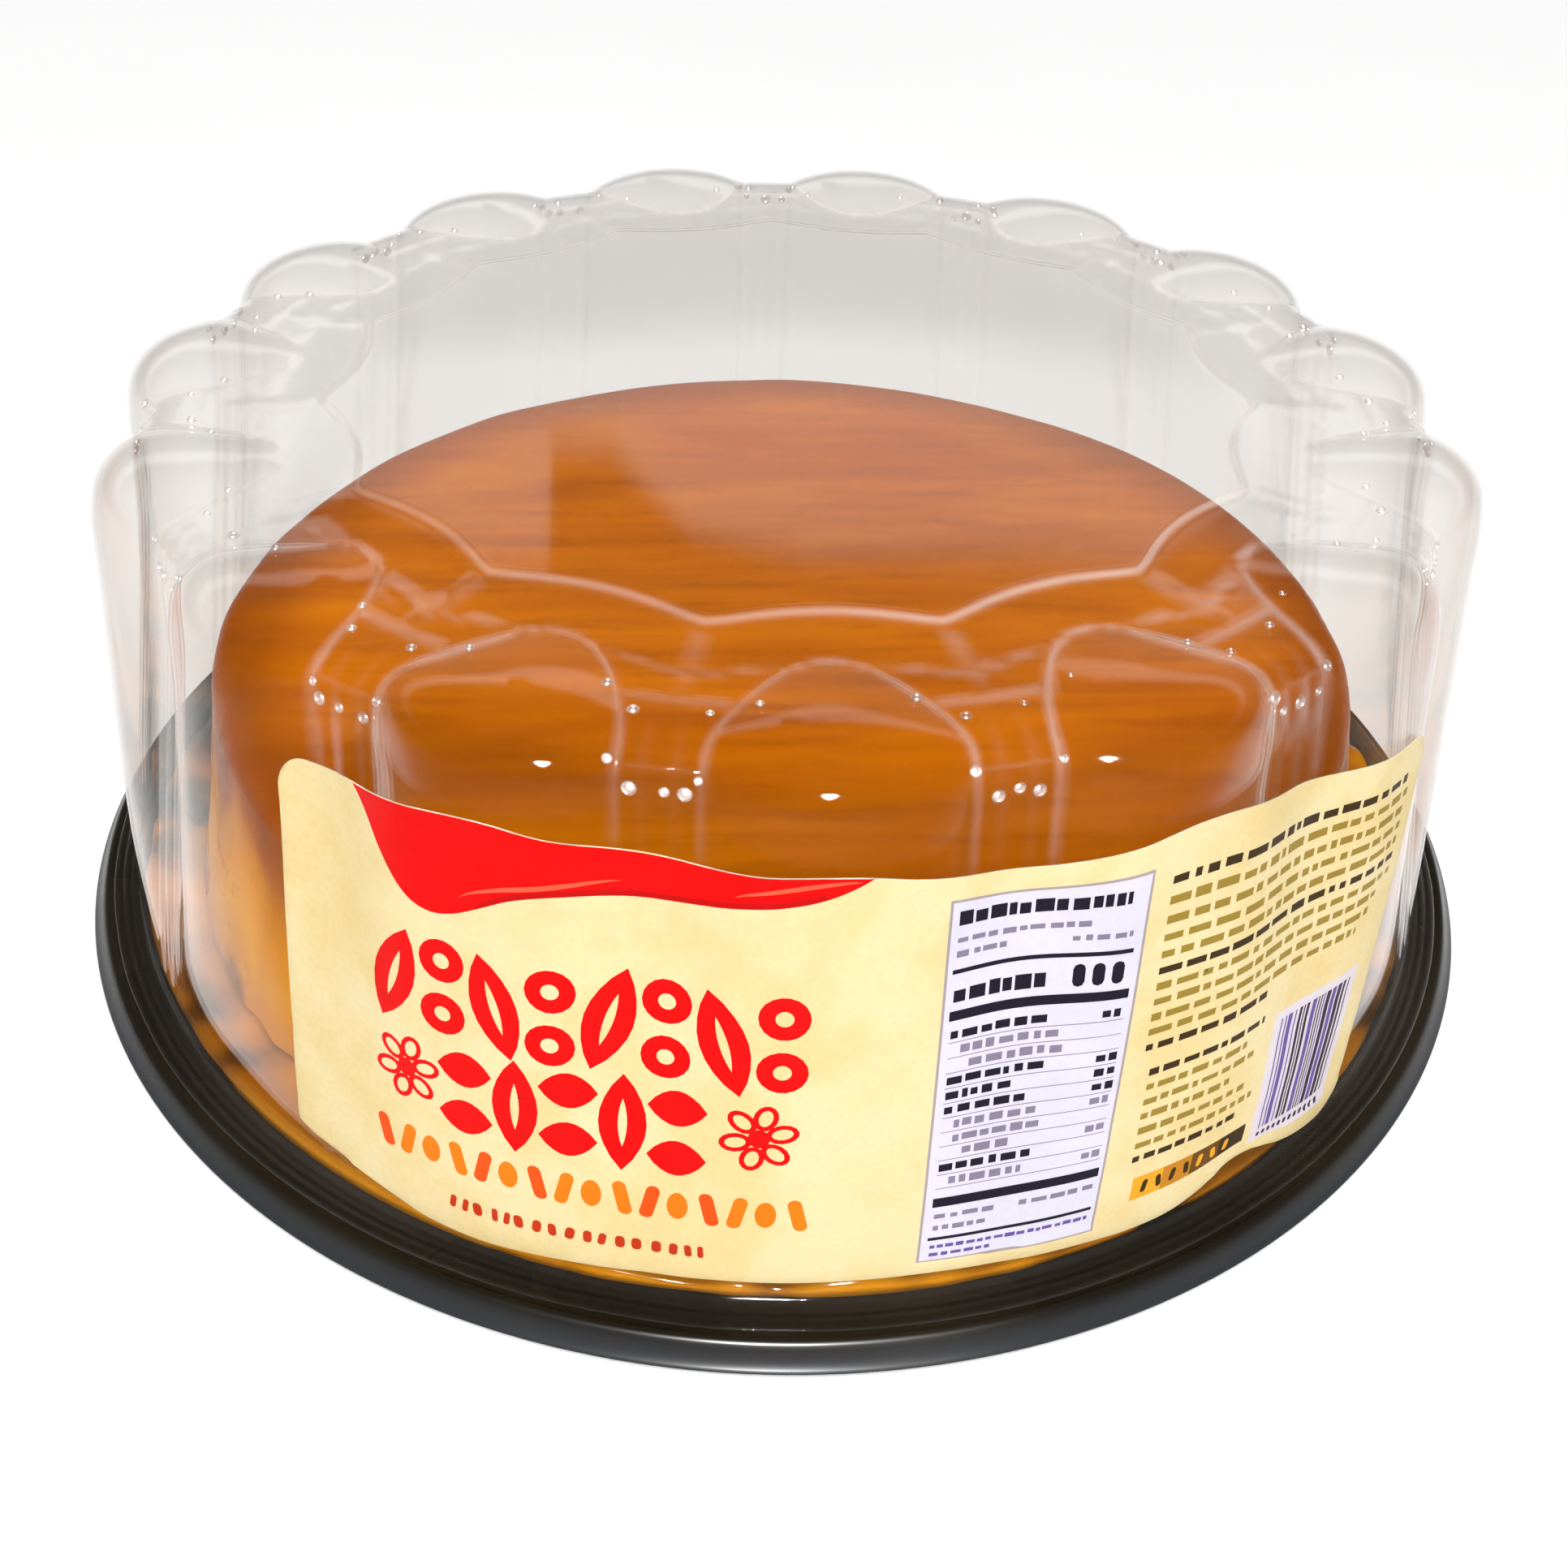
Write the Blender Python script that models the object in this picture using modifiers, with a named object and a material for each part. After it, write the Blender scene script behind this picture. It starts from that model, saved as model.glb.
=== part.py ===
"""Caramel flan in its retail pack.

A round baked custard stands on a shallow black thermoformed base. A clear
fluted dome lid snaps down on the base over it, and a paper label is stuck
round the front of the dome's wall.

Units are metres, +Z is up, and the front of the pack faces -Y. The origin is
at the centre of the underside. Azimuths are in degrees from -Y towards +X.
"""

import math

import bmesh
import bpy

MM = 0.001

# ---------------------------------------------------------------- base tray
RIM_RADIUS = 134.0        # lowest outer edge of the rolled rim
RIM_CREST_RADIUS = 130.6  # where the flat rim turns down
RIM_HEIGHT = 4.2          # top of the flat rim
TRAY_WALL = 0.8           # sheet thickness
FLOOR_TOP = 0.9           # top of the floor that carries the custard
FLOOR_RADIUS = 116.0      # where the floor starts to rise
RIDGE_RADIUS = 120.6      # locating ridge inside the lid's foot
RIDGE_HEIGHT = 5.7

# ---------------------------------------------------------------- custard
CUSTARD_CLEARANCE = 0.3
CUSTARD_BOTTOM_RADIUS = 114.5
CUSTARD_TOP_RADIUS = 106.0
CUSTARD_TOP = 48.0        # height of its top above the underside of the base
CUSTARD_EDGE = 4.5        # rounding of the top edge
CUSTARD_FOOT = 1.5        # rounding of the bottom edge

# ---------------------------------------------------------------- dome lid
LOBES = 15                # bulging panels round the wall
LID_WALL = 0.6
PILASTER = 11.0           # width of the flat strip between two lobes
PLATEAU_RADIUS = 80.9     # outward points of the scalloped top panel
SCALLOP_DEPTH = 4.9       # how far its arcs curve in between the points
PLATEAU_STEP = 0.7        # height of the panel's edge
LOBE_TOP_RADIUS = 87.0    # where each lobe's arch closes on the top
FOOT_RADIUS = 124.4
FLANGE_TOP = 5.1
FLANGE_RADIUS = 129.8

# The lid's section through a pilaster and through the middle of a lobe, from
# the arch's top down to where both meet above the foot, as (radius, height).
PILASTER_SECTION = [
    (87.0, 93.4), (97.0, 93.5), (105.0, 93.3), (109.2, 90.9), (110.7, 86.2),
    (111.9, 76.0), (115.9, 55.5), (120.3, 33.0), (122.9, 19.5), (124.1, 12.5),
]
LOBE_SECTION = [
    (87.0, 93.4), (98.5, 95.3), (108.3, 95.7), (114.4, 93.1), (116.8, 87.5),
    (118.0, 77.0), (120.3, 55.5), (122.4, 33.0), (123.6, 20.0), (124.2, 12.5),
]

# ---------------------------------------------------------------- label
LABEL_SHEET = 0.3
LABEL_GAP = 0.45
LABEL_LEFT = -39.6        # azimuths of its ends
LABEL_RIGHT_LOW = 43.9
LABEL_RIGHT_HIGH = 49.9
LABEL_LEVEL = -16.1       # azimuth where its edges run level
LABEL_TOP = 81.0
LABEL_BOTTOM = 8.0
LABEL_TOP_DROP = 0.0019   # mm per square degree away from the level azimuth
LABEL_BOTTOM_DROP = 0.0006
# The paper's own lower and upper edge, as (azimuth, height): it wanders a
# little round the wall and lifts where it buckles over the hollows.
LABEL_LOW_EDGE = [
    (-39.6, 14.4), (-36.0, 13.2), (-33.0, 11.8), (-30.5, 10.3), (-28.0, 8.7), (-24.0, 8.0), (-20.0, 8.6),
    (-15.0, 9.5), (-9.0, 10.0), (-3.0, 10.0), (3.0, 10.3), (8.0, 10.4), (13.0, 9.8), (18.0, 9.2), (22.0, 8.5),
    (25.5, 8.6), (28.0, 10.2), (31.0, 13.2), (34.0, 12.4), (37.0, 9.4), (41.0, 7.2), (45.0, 6.9), (50.0, 7.4),
]
LABEL_HIGH_EDGE = [
    (-39.6, 81.0), (-36.0, 81.5), (-32.0, 82.3), (-23.0, 84.0), (-17.0, 82.8), (-9.0, 81.6), (0.0, 81.9),
    (4.0, 81.3), (9.0, 79.6), (14.0, 78.8), (19.0, 80.4), (23.6, 82.0), (28.0, 81.6), (33.0, 79.4),
    (38.0, 77.0), (45.0, 75.2), (50.0, 74.2),
]
LABEL_CORNER = 4.5
LABEL_SLACK = 0.35        # how far it sinks into the valleys, of their depth


def clear_scene():
    for obj in list(bpy.data.objects):
        bpy.data.objects.remove(obj, do_unlink=True)
    for mesh in list(bpy.data.meshes):
        bpy.data.meshes.remove(mesh)


def new_collection(name):
    found = bpy.data.collections.new(name)
    bpy.context.scene.collection.children.link(found)
    return found


def material(name, color, roughness, metallic=0.0, alpha=1.0):
    made = bpy.data.materials.new(name)
    made.use_nodes = True
    shader = made.node_tree.nodes["Principled BSDF"]
    shader.inputs["Base Color"].default_value = (*color, 1.0)
    shader.inputs["Roughness"].default_value = roughness
    shader.inputs["Metallic"].default_value = metallic
    shader.inputs["Alpha"].default_value = alpha
    return made


def smoothed(mesh, angle=35.0):
    mesh.shade_smooth()
    mesh.set_sharp_from_angle(angle=math.radians(angle))


def arc(center, radius, start, end, steps):
    """Points (r, z) along a circular arc, angles in degrees."""
    points = []
    for i in range(steps + 1):
        a = math.radians(start + (end - start) * i / steps)
        points.append((center[0] + radius * math.cos(a), center[1] + radius * math.sin(a)))
    return points


def turned(name, profile, steps, collection, surface, first_azimuth=0.0):
    """A section of (radius, height) points in mm, turned once round Z."""
    mesh = bpy.data.meshes.new(name)
    shaped = bmesh.new()
    a = math.radians(first_azimuth)
    verts = [
        shaped.verts.new((r * math.sin(a) * MM, -r * math.cos(a) * MM, z * MM))
        for r, z in profile
    ]
    for low, high in zip(verts, verts[1:]):
        shaped.edges.new((low, high))
    shaped.to_mesh(mesh)
    shaped.free()
    obj = bpy.data.objects.new(name, mesh)
    collection.objects.link(obj)
    obj.data.materials.append(surface)
    screw = obj.modifiers.new("Turn", "SCREW")
    screw.axis = "Z"
    screw.angle = 2 * math.pi
    screw.steps = steps
    screw.render_steps = steps
    screw.use_merge_vertices = True
    screw.merge_threshold = 0.0001
    screw.use_smooth_shade = True
    return obj


def baked(obj):
    """The object's evaluated mesh becomes its own mesh, with no modifiers."""
    graph = bpy.context.evaluated_depsgraph_get()
    mesh = bpy.data.meshes.new_from_object(obj.evaluated_get(graph))
    mesh.name = obj.name
    obj.modifiers.clear()
    obj.data = mesh
    return obj


def faces_out(obj):
    shaped = bmesh.new()
    shaped.from_mesh(obj.data)
    bmesh.ops.remove_doubles(shaped, verts=shaped.verts, dist=0.00001)
    bmesh.ops.recalc_face_normals(shaped, faces=shaped.faces)
    shaped.to_mesh(obj.data)
    shaped.free()


# ---------------------------------------------------------------- lid form

def along(section, t):
    """Point at t (0 to 1 over the list) on a section."""
    x = min(max(t, 0.0), 1.0) * (len(section) - 1)
    i = min(int(x), len(section) - 2)
    k = x - i
    a, b = section[i], section[i + 1]
    return a[0] + (b[0] - a[0]) * k, a[1] + (b[1] - a[1]) * k


def offset_in_lobe(azimuth):
    """Degrees from the middle of the lobe that the azimuth falls in."""
    pitch = 360.0 / LOBES
    return (azimuth + pitch / 2) % pitch - pitch / 2


def lobe_share(azimuth, t, radius):
    """0 on a pilaster, 1 on the middle of a lobe, inside the arched outline."""
    half = math.pi * radius / LOBES - PILASTER / 2
    closing = 0.28                 # share of the section over which the arch closes
    if t < closing:
        half *= math.sqrt(max(0.0, 1 - ((closing - t) / closing) ** 2))
    if half <= 0:
        return 0.0
    u = abs(math.radians(offset_in_lobe(azimuth))) * radius / half
    if u >= 1:
        return 0.0
    edge = 0.70                    # the bulge is an arc of a circle, cut off here
    low = math.sqrt(1 - edge * edge)
    return (math.sqrt(1 - (u * edge) ** 2) - low) / (1 - low)


def lid_point(azimuth, t):
    """(radius, height) of the lid's outside at an azimuth and section place."""
    v, l = along(PILASTER_SECTION, t), along(LOBE_SECTION, t)
    k = lobe_share(azimuth, t, v[0])
    return v[0] + (l[0] - v[0]) * k, v[1] + (l[1] - v[1]) * k


def plateau_radius(azimuth):
    u = abs(offset_in_lobe(azimuth)) / (180.0 / LOBES)
    return PLATEAU_RADIUS - SCALLOP_DEPTH * (1 - u * u)


def lid_row(row, azimuth):
    kind, value = row
    if kind == "plateau":
        return plateau_radius(azimuth) + value[0], value[1]
    if kind == "ring":
        return value
    return lid_point(azimuth, value)


def make_lid(collection, surface):
    """Turned section, whose points then move out into the lobes."""
    plateau_top = 93.8 + PLATEAU_STEP
    rows = [
        ("ring", (0.0, plateau_top)),
        ("plateau", (-1.4, plateau_top)),
        ("plateau", (0.0, 93.8)),
        ("section", 0.0),
        ("section", 1 / 9),
        ("section", 2 / 9),
        ("section", 3 / 9),
        ("section", 4 / 9),
        ("section", 8 / 9),
        ("section", 1.0),
        ("ring", (FOOT_RADIUS, 9.0)),
        ("ring", (FOOT_RADIUS, FLANGE_TOP)),
        ("ring", (FLANGE_RADIUS, FLANGE_TOP)),
    ]
    per_lobe = 8
    steps = LOBES * per_lobe
    # Distinct stand-in radii, so that each turned point can be told by its row.
    marks = [(10.0 * i, 0.0) for i in range(len(rows))]
    first = 180.0 / steps
    lid = baked(turned("dome_lid", marks, steps, collection, surface, first))
    for vert in lid.data.vertices:
        x, y = vert.co.x / MM, vert.co.y / MM
        row = rows[round(math.hypot(x, y) / 10.0)]
        azimuth = math.degrees(math.atan2(x, -y))
        r, z = lid_row(row, azimuth)
        a = math.radians(azimuth)
        vert.co = (r * math.sin(a) * MM, -r * math.cos(a) * MM, z * MM)
    faces_out(lid)
    # The normals of the open shell point up and out, so the wall goes inwards.
    if lid.data.polygons[0].normal.z < 0:
        lid.data.flip_normals()
    shell = lid.modifiers.new("Sheet", "SOLIDIFY")
    shell.thickness = LID_WALL * MM
    shell.offset = -1.0
    shell.use_even_offset = True
    shell.use_rim = True
    smoothed(lid.data)
    return lid


# ---------------------------------------------------------------- label form

def section_at_height(z):
    """Place t on the wall whose pilaster height is z."""
    low, high = 0.35, 1.0
    for _ in range(40):
        mid = (low + high) / 2
        if along(PILASTER_SECTION, mid)[1] > z:
            low = mid
        else:
            high = mid
    return (low + high) / 2


def label_radius(azimuth, z):
    """Inner face of the label: on the lobes' crests, a little into the valleys."""
    t = section_at_height(max(z, 12.5))
    v, l = along(PILASTER_SECTION, t), along(LOBE_SECTION, t)
    if z < 12.5:
        v = l = (FOOT_RADIUS, z)
    crest = max(l[0], v[0]) + LABEL_GAP
    dip = (l[0] - v[0]) * LABEL_SLACK * (1 - lobe_share(azimuth, 0.7, v[0]))
    return crest - max(dip, 0.0)


def edge_height(table, azimuth):
    """Height of one of the paper's edges at an azimuth."""
    if azimuth <= table[0][0]:
        return table[0][1]
    for (a0, z0), (a1, z1) in zip(table, table[1:]):
        if azimuth <= a1:
            return z0 + (z1 - z0) * (azimuth - a0) / (a1 - a0)
    return table[-1][1]


def label_place(u, v):
    """(azimuth, height) at u along the label and v up it."""
    right = LABEL_RIGHT_LOW + (LABEL_RIGHT_HIGH - LABEL_RIGHT_LOW) * v
    azimuth = LABEL_LEFT + (right - LABEL_LEFT) * u
    away = (azimuth - LABEL_LEVEL) ** 2
    low = LABEL_BOTTOM - LABEL_BOTTOM_DROP * away
    high = LABEL_TOP - LABEL_TOP_DROP * away
    z = low + (high - low) * v
    z += (edge_height(LABEL_LOW_EDGE, azimuth) - low) * max(0.0, 1 - v / 0.25) ** 2
    z += (edge_height(LABEL_HIGH_EDGE, azimuth) - high) * max(0.0, (v - 0.75) / 0.25) ** 2
    return azimuth, z


def make_label(collection, surface):
    """A flat grid with rounded corners, wrapped round the wall, given its sheet."""
    columns, rows = 40, 4
    width, height = 182.0, 72.0
    mesh = bpy.data.meshes.new("label")
    shaped = bmesh.new()
    bmesh.ops.create_grid(shaped, x_segments=columns, y_segments=rows, size=1.0)
    for vert in shaped.verts:
        u, v = (vert.co.x + 1) / 2, (vert.co.y + 1) / 2
        # The ends draw in towards the corners, which rounds them.
        to_end = min(u, 1 - u) * width
        if to_end < LABEL_CORNER:
            cut = LABEL_CORNER - math.sqrt(max(0.0, LABEL_CORNER ** 2 - (LABEL_CORNER - to_end) ** 2))
            v = v + (0.5 - v) * 2 * cut / height
        azimuth, z = label_place(u, v)
        r = label_radius(azimuth, z)
        a = math.radians(azimuth)
        vert.co = (r * math.sin(a) * MM, -r * math.cos(a) * MM, z * MM)
    shaped.to_mesh(mesh)
    shaped.free()
    label = bpy.data.objects.new("label", mesh)
    collection.objects.link(label)
    label.data.materials.append(surface)
    middle = mesh.polygons[len(mesh.polygons) // 2]
    if middle.normal.y > 0:
        mesh.flip_normals()
    sheet = label.modifiers.new("Sheet", "SOLIDIFY")
    sheet.thickness = LABEL_SHEET * MM
    sheet.offset = 1.0
    sheet.use_rim = True
    smoothed(mesh)
    return label


# ---------------------------------------------------------------- turned parts

def make_tray(collection, surface):
    """Closed section of the pressed sheet: its top from the middle out, then back."""
    t = TRAY_WALL
    top = [
        (0.0, FLOOR_TOP),
        (FLOOR_RADIUS, FLOOR_TOP),
        (FLOOR_RADIUS + 2.2, FLOOR_TOP + 0.8),
        (RIDGE_RADIUS - 2.0, RIDGE_HEIGHT - 1.0),
        (RIDGE_RADIUS - 0.8, RIDGE_HEIGHT),
        (RIDGE_RADIUS + 0.8, RIDGE_HEIGHT),
        (RIDGE_RADIUS + 2.3, RIM_HEIGHT),
        (RIM_CREST_RADIUS - 0.4, RIM_HEIGHT),
        (RIM_CREST_RADIUS + 0.9, RIM_HEIGHT - 0.4),
        (RIM_RADIUS - 1.3, RIM_HEIGHT - 1.6),
        (RIM_RADIUS - 0.4, RIM_HEIGHT - 2.9),
        (RIM_RADIUS, 0.4),
    ]
    under = [
        (RIM_RADIUS - 0.8, 0.4),
        (RIM_RADIUS - 1.2, RIM_HEIGHT - 3.1),
        (RIM_RADIUS - 2.0, RIM_HEIGHT - 2.2),
        (RIM_CREST_RADIUS + 0.4, RIM_HEIGHT - t - 0.3),
        (RIM_CREST_RADIUS - 0.5, RIM_HEIGHT - t),
        (RIDGE_RADIUS + 1.9, RIM_HEIGHT - t),
        (RIDGE_RADIUS + 0.3, RIDGE_HEIGHT - t),
        (RIDGE_RADIUS - 0.3, RIDGE_HEIGHT - t),
        (RIDGE_RADIUS - 1.3, RIDGE_HEIGHT - t - 0.8),
        (FLOOR_RADIUS + 2.8, FLOOR_TOP - t + 0.6),
        (FLOOR_RADIUS + 0.4, 0.0),
        (0.0, 0.0),
    ]
    tray = baked(turned("base_tray", top + under, 54, collection, surface))
    faces_out(tray)
    smoothed(tray.data, 40.0)
    return tray


def make_custard(collection, surface):
    """Low drum with a little draft, a soft top edge and a small foot rounding."""
    bottom = FLOOR_TOP + CUSTARD_CLEARANCE
    edge = arc((CUSTARD_TOP_RADIUS - CUSTARD_EDGE, CUSTARD_TOP - CUSTARD_EDGE),
               CUSTARD_EDGE, 90.0, 0.0, 4)
    foot = arc((CUSTARD_BOTTOM_RADIUS - CUSTARD_FOOT, bottom + CUSTARD_FOOT),
               CUSTARD_FOOT, 0.0, -90.0, 2)
    middle = [(60.0, CUSTARD_TOP + 0.2), (90.0, CUSTARD_TOP + 0.1)]
    profile = [(0.0, CUSTARD_TOP)] + middle + edge + foot + [(0.0, bottom)]
    custard = baked(turned("flan", profile, 48, collection, surface))
    faces_out(custard)
    smoothed(custard.data, 40.0)
    return custard


def main():
    clear_scene()
    pack = new_collection("caramel_flan_pack")
    black = material("black_plastic", (0.012, 0.011, 0.010), 0.22)
    clear = material("clear_plastic", (0.93, 0.93, 0.92), 0.04, alpha=0.25)
    caramel = material("custard", (0.52, 0.19, 0.02), 0.3)
    paper = material("label_paper", (0.93, 0.81, 0.42), 0.45)
    make_tray(pack, black)
    make_custard(pack, caramel)
    make_lid(pack, clear)
    make_label(pack, paper)


main()
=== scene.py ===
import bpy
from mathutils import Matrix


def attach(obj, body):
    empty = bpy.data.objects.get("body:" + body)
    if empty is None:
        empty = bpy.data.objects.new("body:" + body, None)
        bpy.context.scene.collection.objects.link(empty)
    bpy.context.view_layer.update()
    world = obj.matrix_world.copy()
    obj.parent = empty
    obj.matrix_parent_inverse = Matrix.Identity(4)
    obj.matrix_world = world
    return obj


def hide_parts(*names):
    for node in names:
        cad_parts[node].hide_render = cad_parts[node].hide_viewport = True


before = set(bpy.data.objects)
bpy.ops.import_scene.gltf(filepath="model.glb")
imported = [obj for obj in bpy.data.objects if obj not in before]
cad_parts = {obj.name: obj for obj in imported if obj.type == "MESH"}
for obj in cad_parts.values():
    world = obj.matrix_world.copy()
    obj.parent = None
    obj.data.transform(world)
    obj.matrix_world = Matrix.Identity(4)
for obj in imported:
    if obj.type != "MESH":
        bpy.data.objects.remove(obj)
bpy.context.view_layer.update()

# Looks of a caramel flan in its clear retail pack. Lengths are in millimetres
# until a mesh is made. Azimuths are in degrees from the front (-Y) towards +X.

import math
import random

import bpy
import numpy as np
from mathutils import Matrix, Vector
from mathutils.geometry import delaunay_2d_cdt

MM = 0.001

# ------------------------------------------------------------------ pack sizes
FLOOR_TOP = 0.9
FLOOR_RADIUS = 116.0
RIDGE_RADIUS = 120.6
RIDGE_HEIGHT = 5.7
RIM_HEIGHT = 4.2
RIM_RADIUS = 134.0
CUSTARD_BOTTOM_RADIUS = 114.5
CUSTARD_TOP_RADIUS = 106.0
CUSTARD_TOP = 48.0
LOBES = 15
PITCH = 360.0 / LOBES
PILASTER = 11.0
CLOSING = 0.28
PLATEAU_RADIUS = 80.9
SCALLOP_DEPTH = 4.9
PLATEAU_TOP = 94.5
PANEL = 93.8
FOOT_RADIUS = 124.4
FLANGE_TOP = 5.1
FLANGE_RADIUS = 129.8
PILASTER_SECTION = [
    (87.0, 93.4), (97.0, 93.5), (105.0, 93.3), (109.2, 90.9), (110.7, 86.2),
    (111.9, 76.0), (115.9, 55.5), (120.3, 33.0), (122.9, 19.5), (124.1, 12.5),
]
LOBE_SECTION = [
    (87.0, 93.4), (98.5, 95.3), (108.3, 95.7), (114.4, 93.1), (116.8, 87.5),
    (118.0, 77.0), (120.3, 55.5), (122.4, 33.0), (123.6, 20.0), (124.2, 12.5),
]
LABEL_GAP = 0.45
LABEL_LEFT = -39.6
LABEL_RIGHT_LOW = 43.9
LABEL_RIGHT_HIGH = 49.9
LABEL_LEVEL = -16.1
LABEL_TOP = 81.0
LABEL_BOTTOM = 8.0
LABEL_TOP_DROP = 0.0019
LABEL_BOTTOM_DROP = 0.0006
LABEL_LOW_EDGE = [
    (-39.6, 14.4), (-36.0, 13.2), (-33.0, 11.8), (-30.5, 10.3), (-28.0, 8.7), (-24.0, 8.0), (-20.0, 8.6),
    (-15.0, 9.5), (-9.0, 10.0), (-3.0, 10.0), (3.0, 10.3), (8.0, 10.4), (13.0, 9.8), (18.0, 9.2), (22.0, 8.5),
    (25.5, 8.6), (28.0, 10.2), (31.0, 13.2), (34.0, 12.4), (37.0, 9.4), (41.0, 7.2), (45.0, 6.9), (50.0, 7.4),
]
LABEL_HIGH_EDGE = [
    (-39.6, 81.0), (-36.0, 81.5), (-32.0, 82.3), (-23.0, 84.0), (-17.0, 82.8), (-9.0, 81.6), (0.0, 81.9),
    (4.0, 81.3), (9.0, 79.6), (14.0, 78.8), (19.0, 80.4), (23.6, 82.0), (28.0, 81.6), (33.0, 79.4),
    (38.0, 77.0), (45.0, 75.2), (50.0, 74.2),
]
LABEL_CORNER = 4.5
LABEL_WIDTH = 182.0
LABEL_HEIGHT = 72.0


# ------------------------------------------------------------------ mesh tools

def place(azimuth, radius, z):
    """Azimuth in degrees, radius and height in mm, to metres."""
    a = np.radians(azimuth)
    return np.stack([radius * np.sin(a) * MM, -radius * np.cos(a) * MM,
                     np.broadcast_to(z, np.shape(a)) * MM], -1)


def linear(r, g, b):
    """A screen colour from 0 to 255 as linear light, for a shader socket."""
    out = []
    for c in (r, g, b):
        c = c / 255.0
        out.append(c / 12.92 if c <= 0.04045 else ((c + 0.055) / 1.055) ** 2.4)
    return (out[0], out[1], out[2], 1.0)


def add_object(name, points, faces, materials, smooth=True, angle=None):
    mesh = bpy.data.meshes.new(name)
    mesh.from_pydata([tuple(p) for p in points], [], [tuple(f) for f in faces])
    mesh.validate()
    mesh.update()
    obj = bpy.data.objects.new(name, mesh)
    bpy.context.scene.collection.objects.link(obj)
    for m in materials:
        mesh.materials.append(m)
    if smooth:
        mesh.shade_smooth()
        if angle is not None:
            mesh.set_sharp_from_angle(angle=math.radians(angle))
    return obj


def ring_faces(rows, columns, closed_rows=False):
    """Quads between rows of points that run once round."""
    faces = []
    last = rows if closed_rows else rows - 1
    for j in range(last):
        k = (j + 1) % rows
        for i in range(columns):
            n = (i + 1) % columns
            faces.append((j * columns + i, j * columns + n, k * columns + n, k * columns + i))
    return faces


def float_attribute(obj, name, values):
    layer = obj.data.attributes.new(name, "FLOAT", "POINT")
    layer.data.foreach_set("value", np.asarray(values, np.float32))


def waves(angle, seed, terms, size):
    """A smooth uneven value round the pack, of a few sine waves."""
    r = random.Random(seed)
    total = np.zeros_like(np.asarray(angle, float))
    for n in terms:
        total = total + math.sqrt(terms[0] / n) * r.uniform(0.5, 1.0) * np.sin(np.radians(angle) * n + r.uniform(0, 6.28))
    return total * size / max(1.0, math.sqrt(len(terms)))


def smooth_section(section):
    """Catmull-Rom curve through the section's points, as a function of t 0..1."""
    pts = np.array(section)
    ext = np.vstack([2 * pts[0] - pts[1], pts, 2 * pts[-1] - pts[-2]])

    def at(t):
        x = np.clip(t, 0.0, 1.0) * (len(pts) - 1)
        i = np.minimum(x.astype(int), len(pts) - 2)
        k = (x - i)[..., None]
        p0, p1, p2, p3 = ext[i], ext[i + 1], ext[i + 2], ext[i + 3]
        return 0.5 * ((2 * p1) + (p2 - p0) * k + (2 * p0 - 5 * p1 + 4 * p2 - p3) * k ** 2
                      + (3 * p1 - p0 - 3 * p2 + p3) * k ** 3)
    return at


pilaster_at = smooth_section(PILASTER_SECTION)
lobe_at = smooth_section(LOBE_SECTION)


# ------------------------------------------------------------------ shader tools

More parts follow.
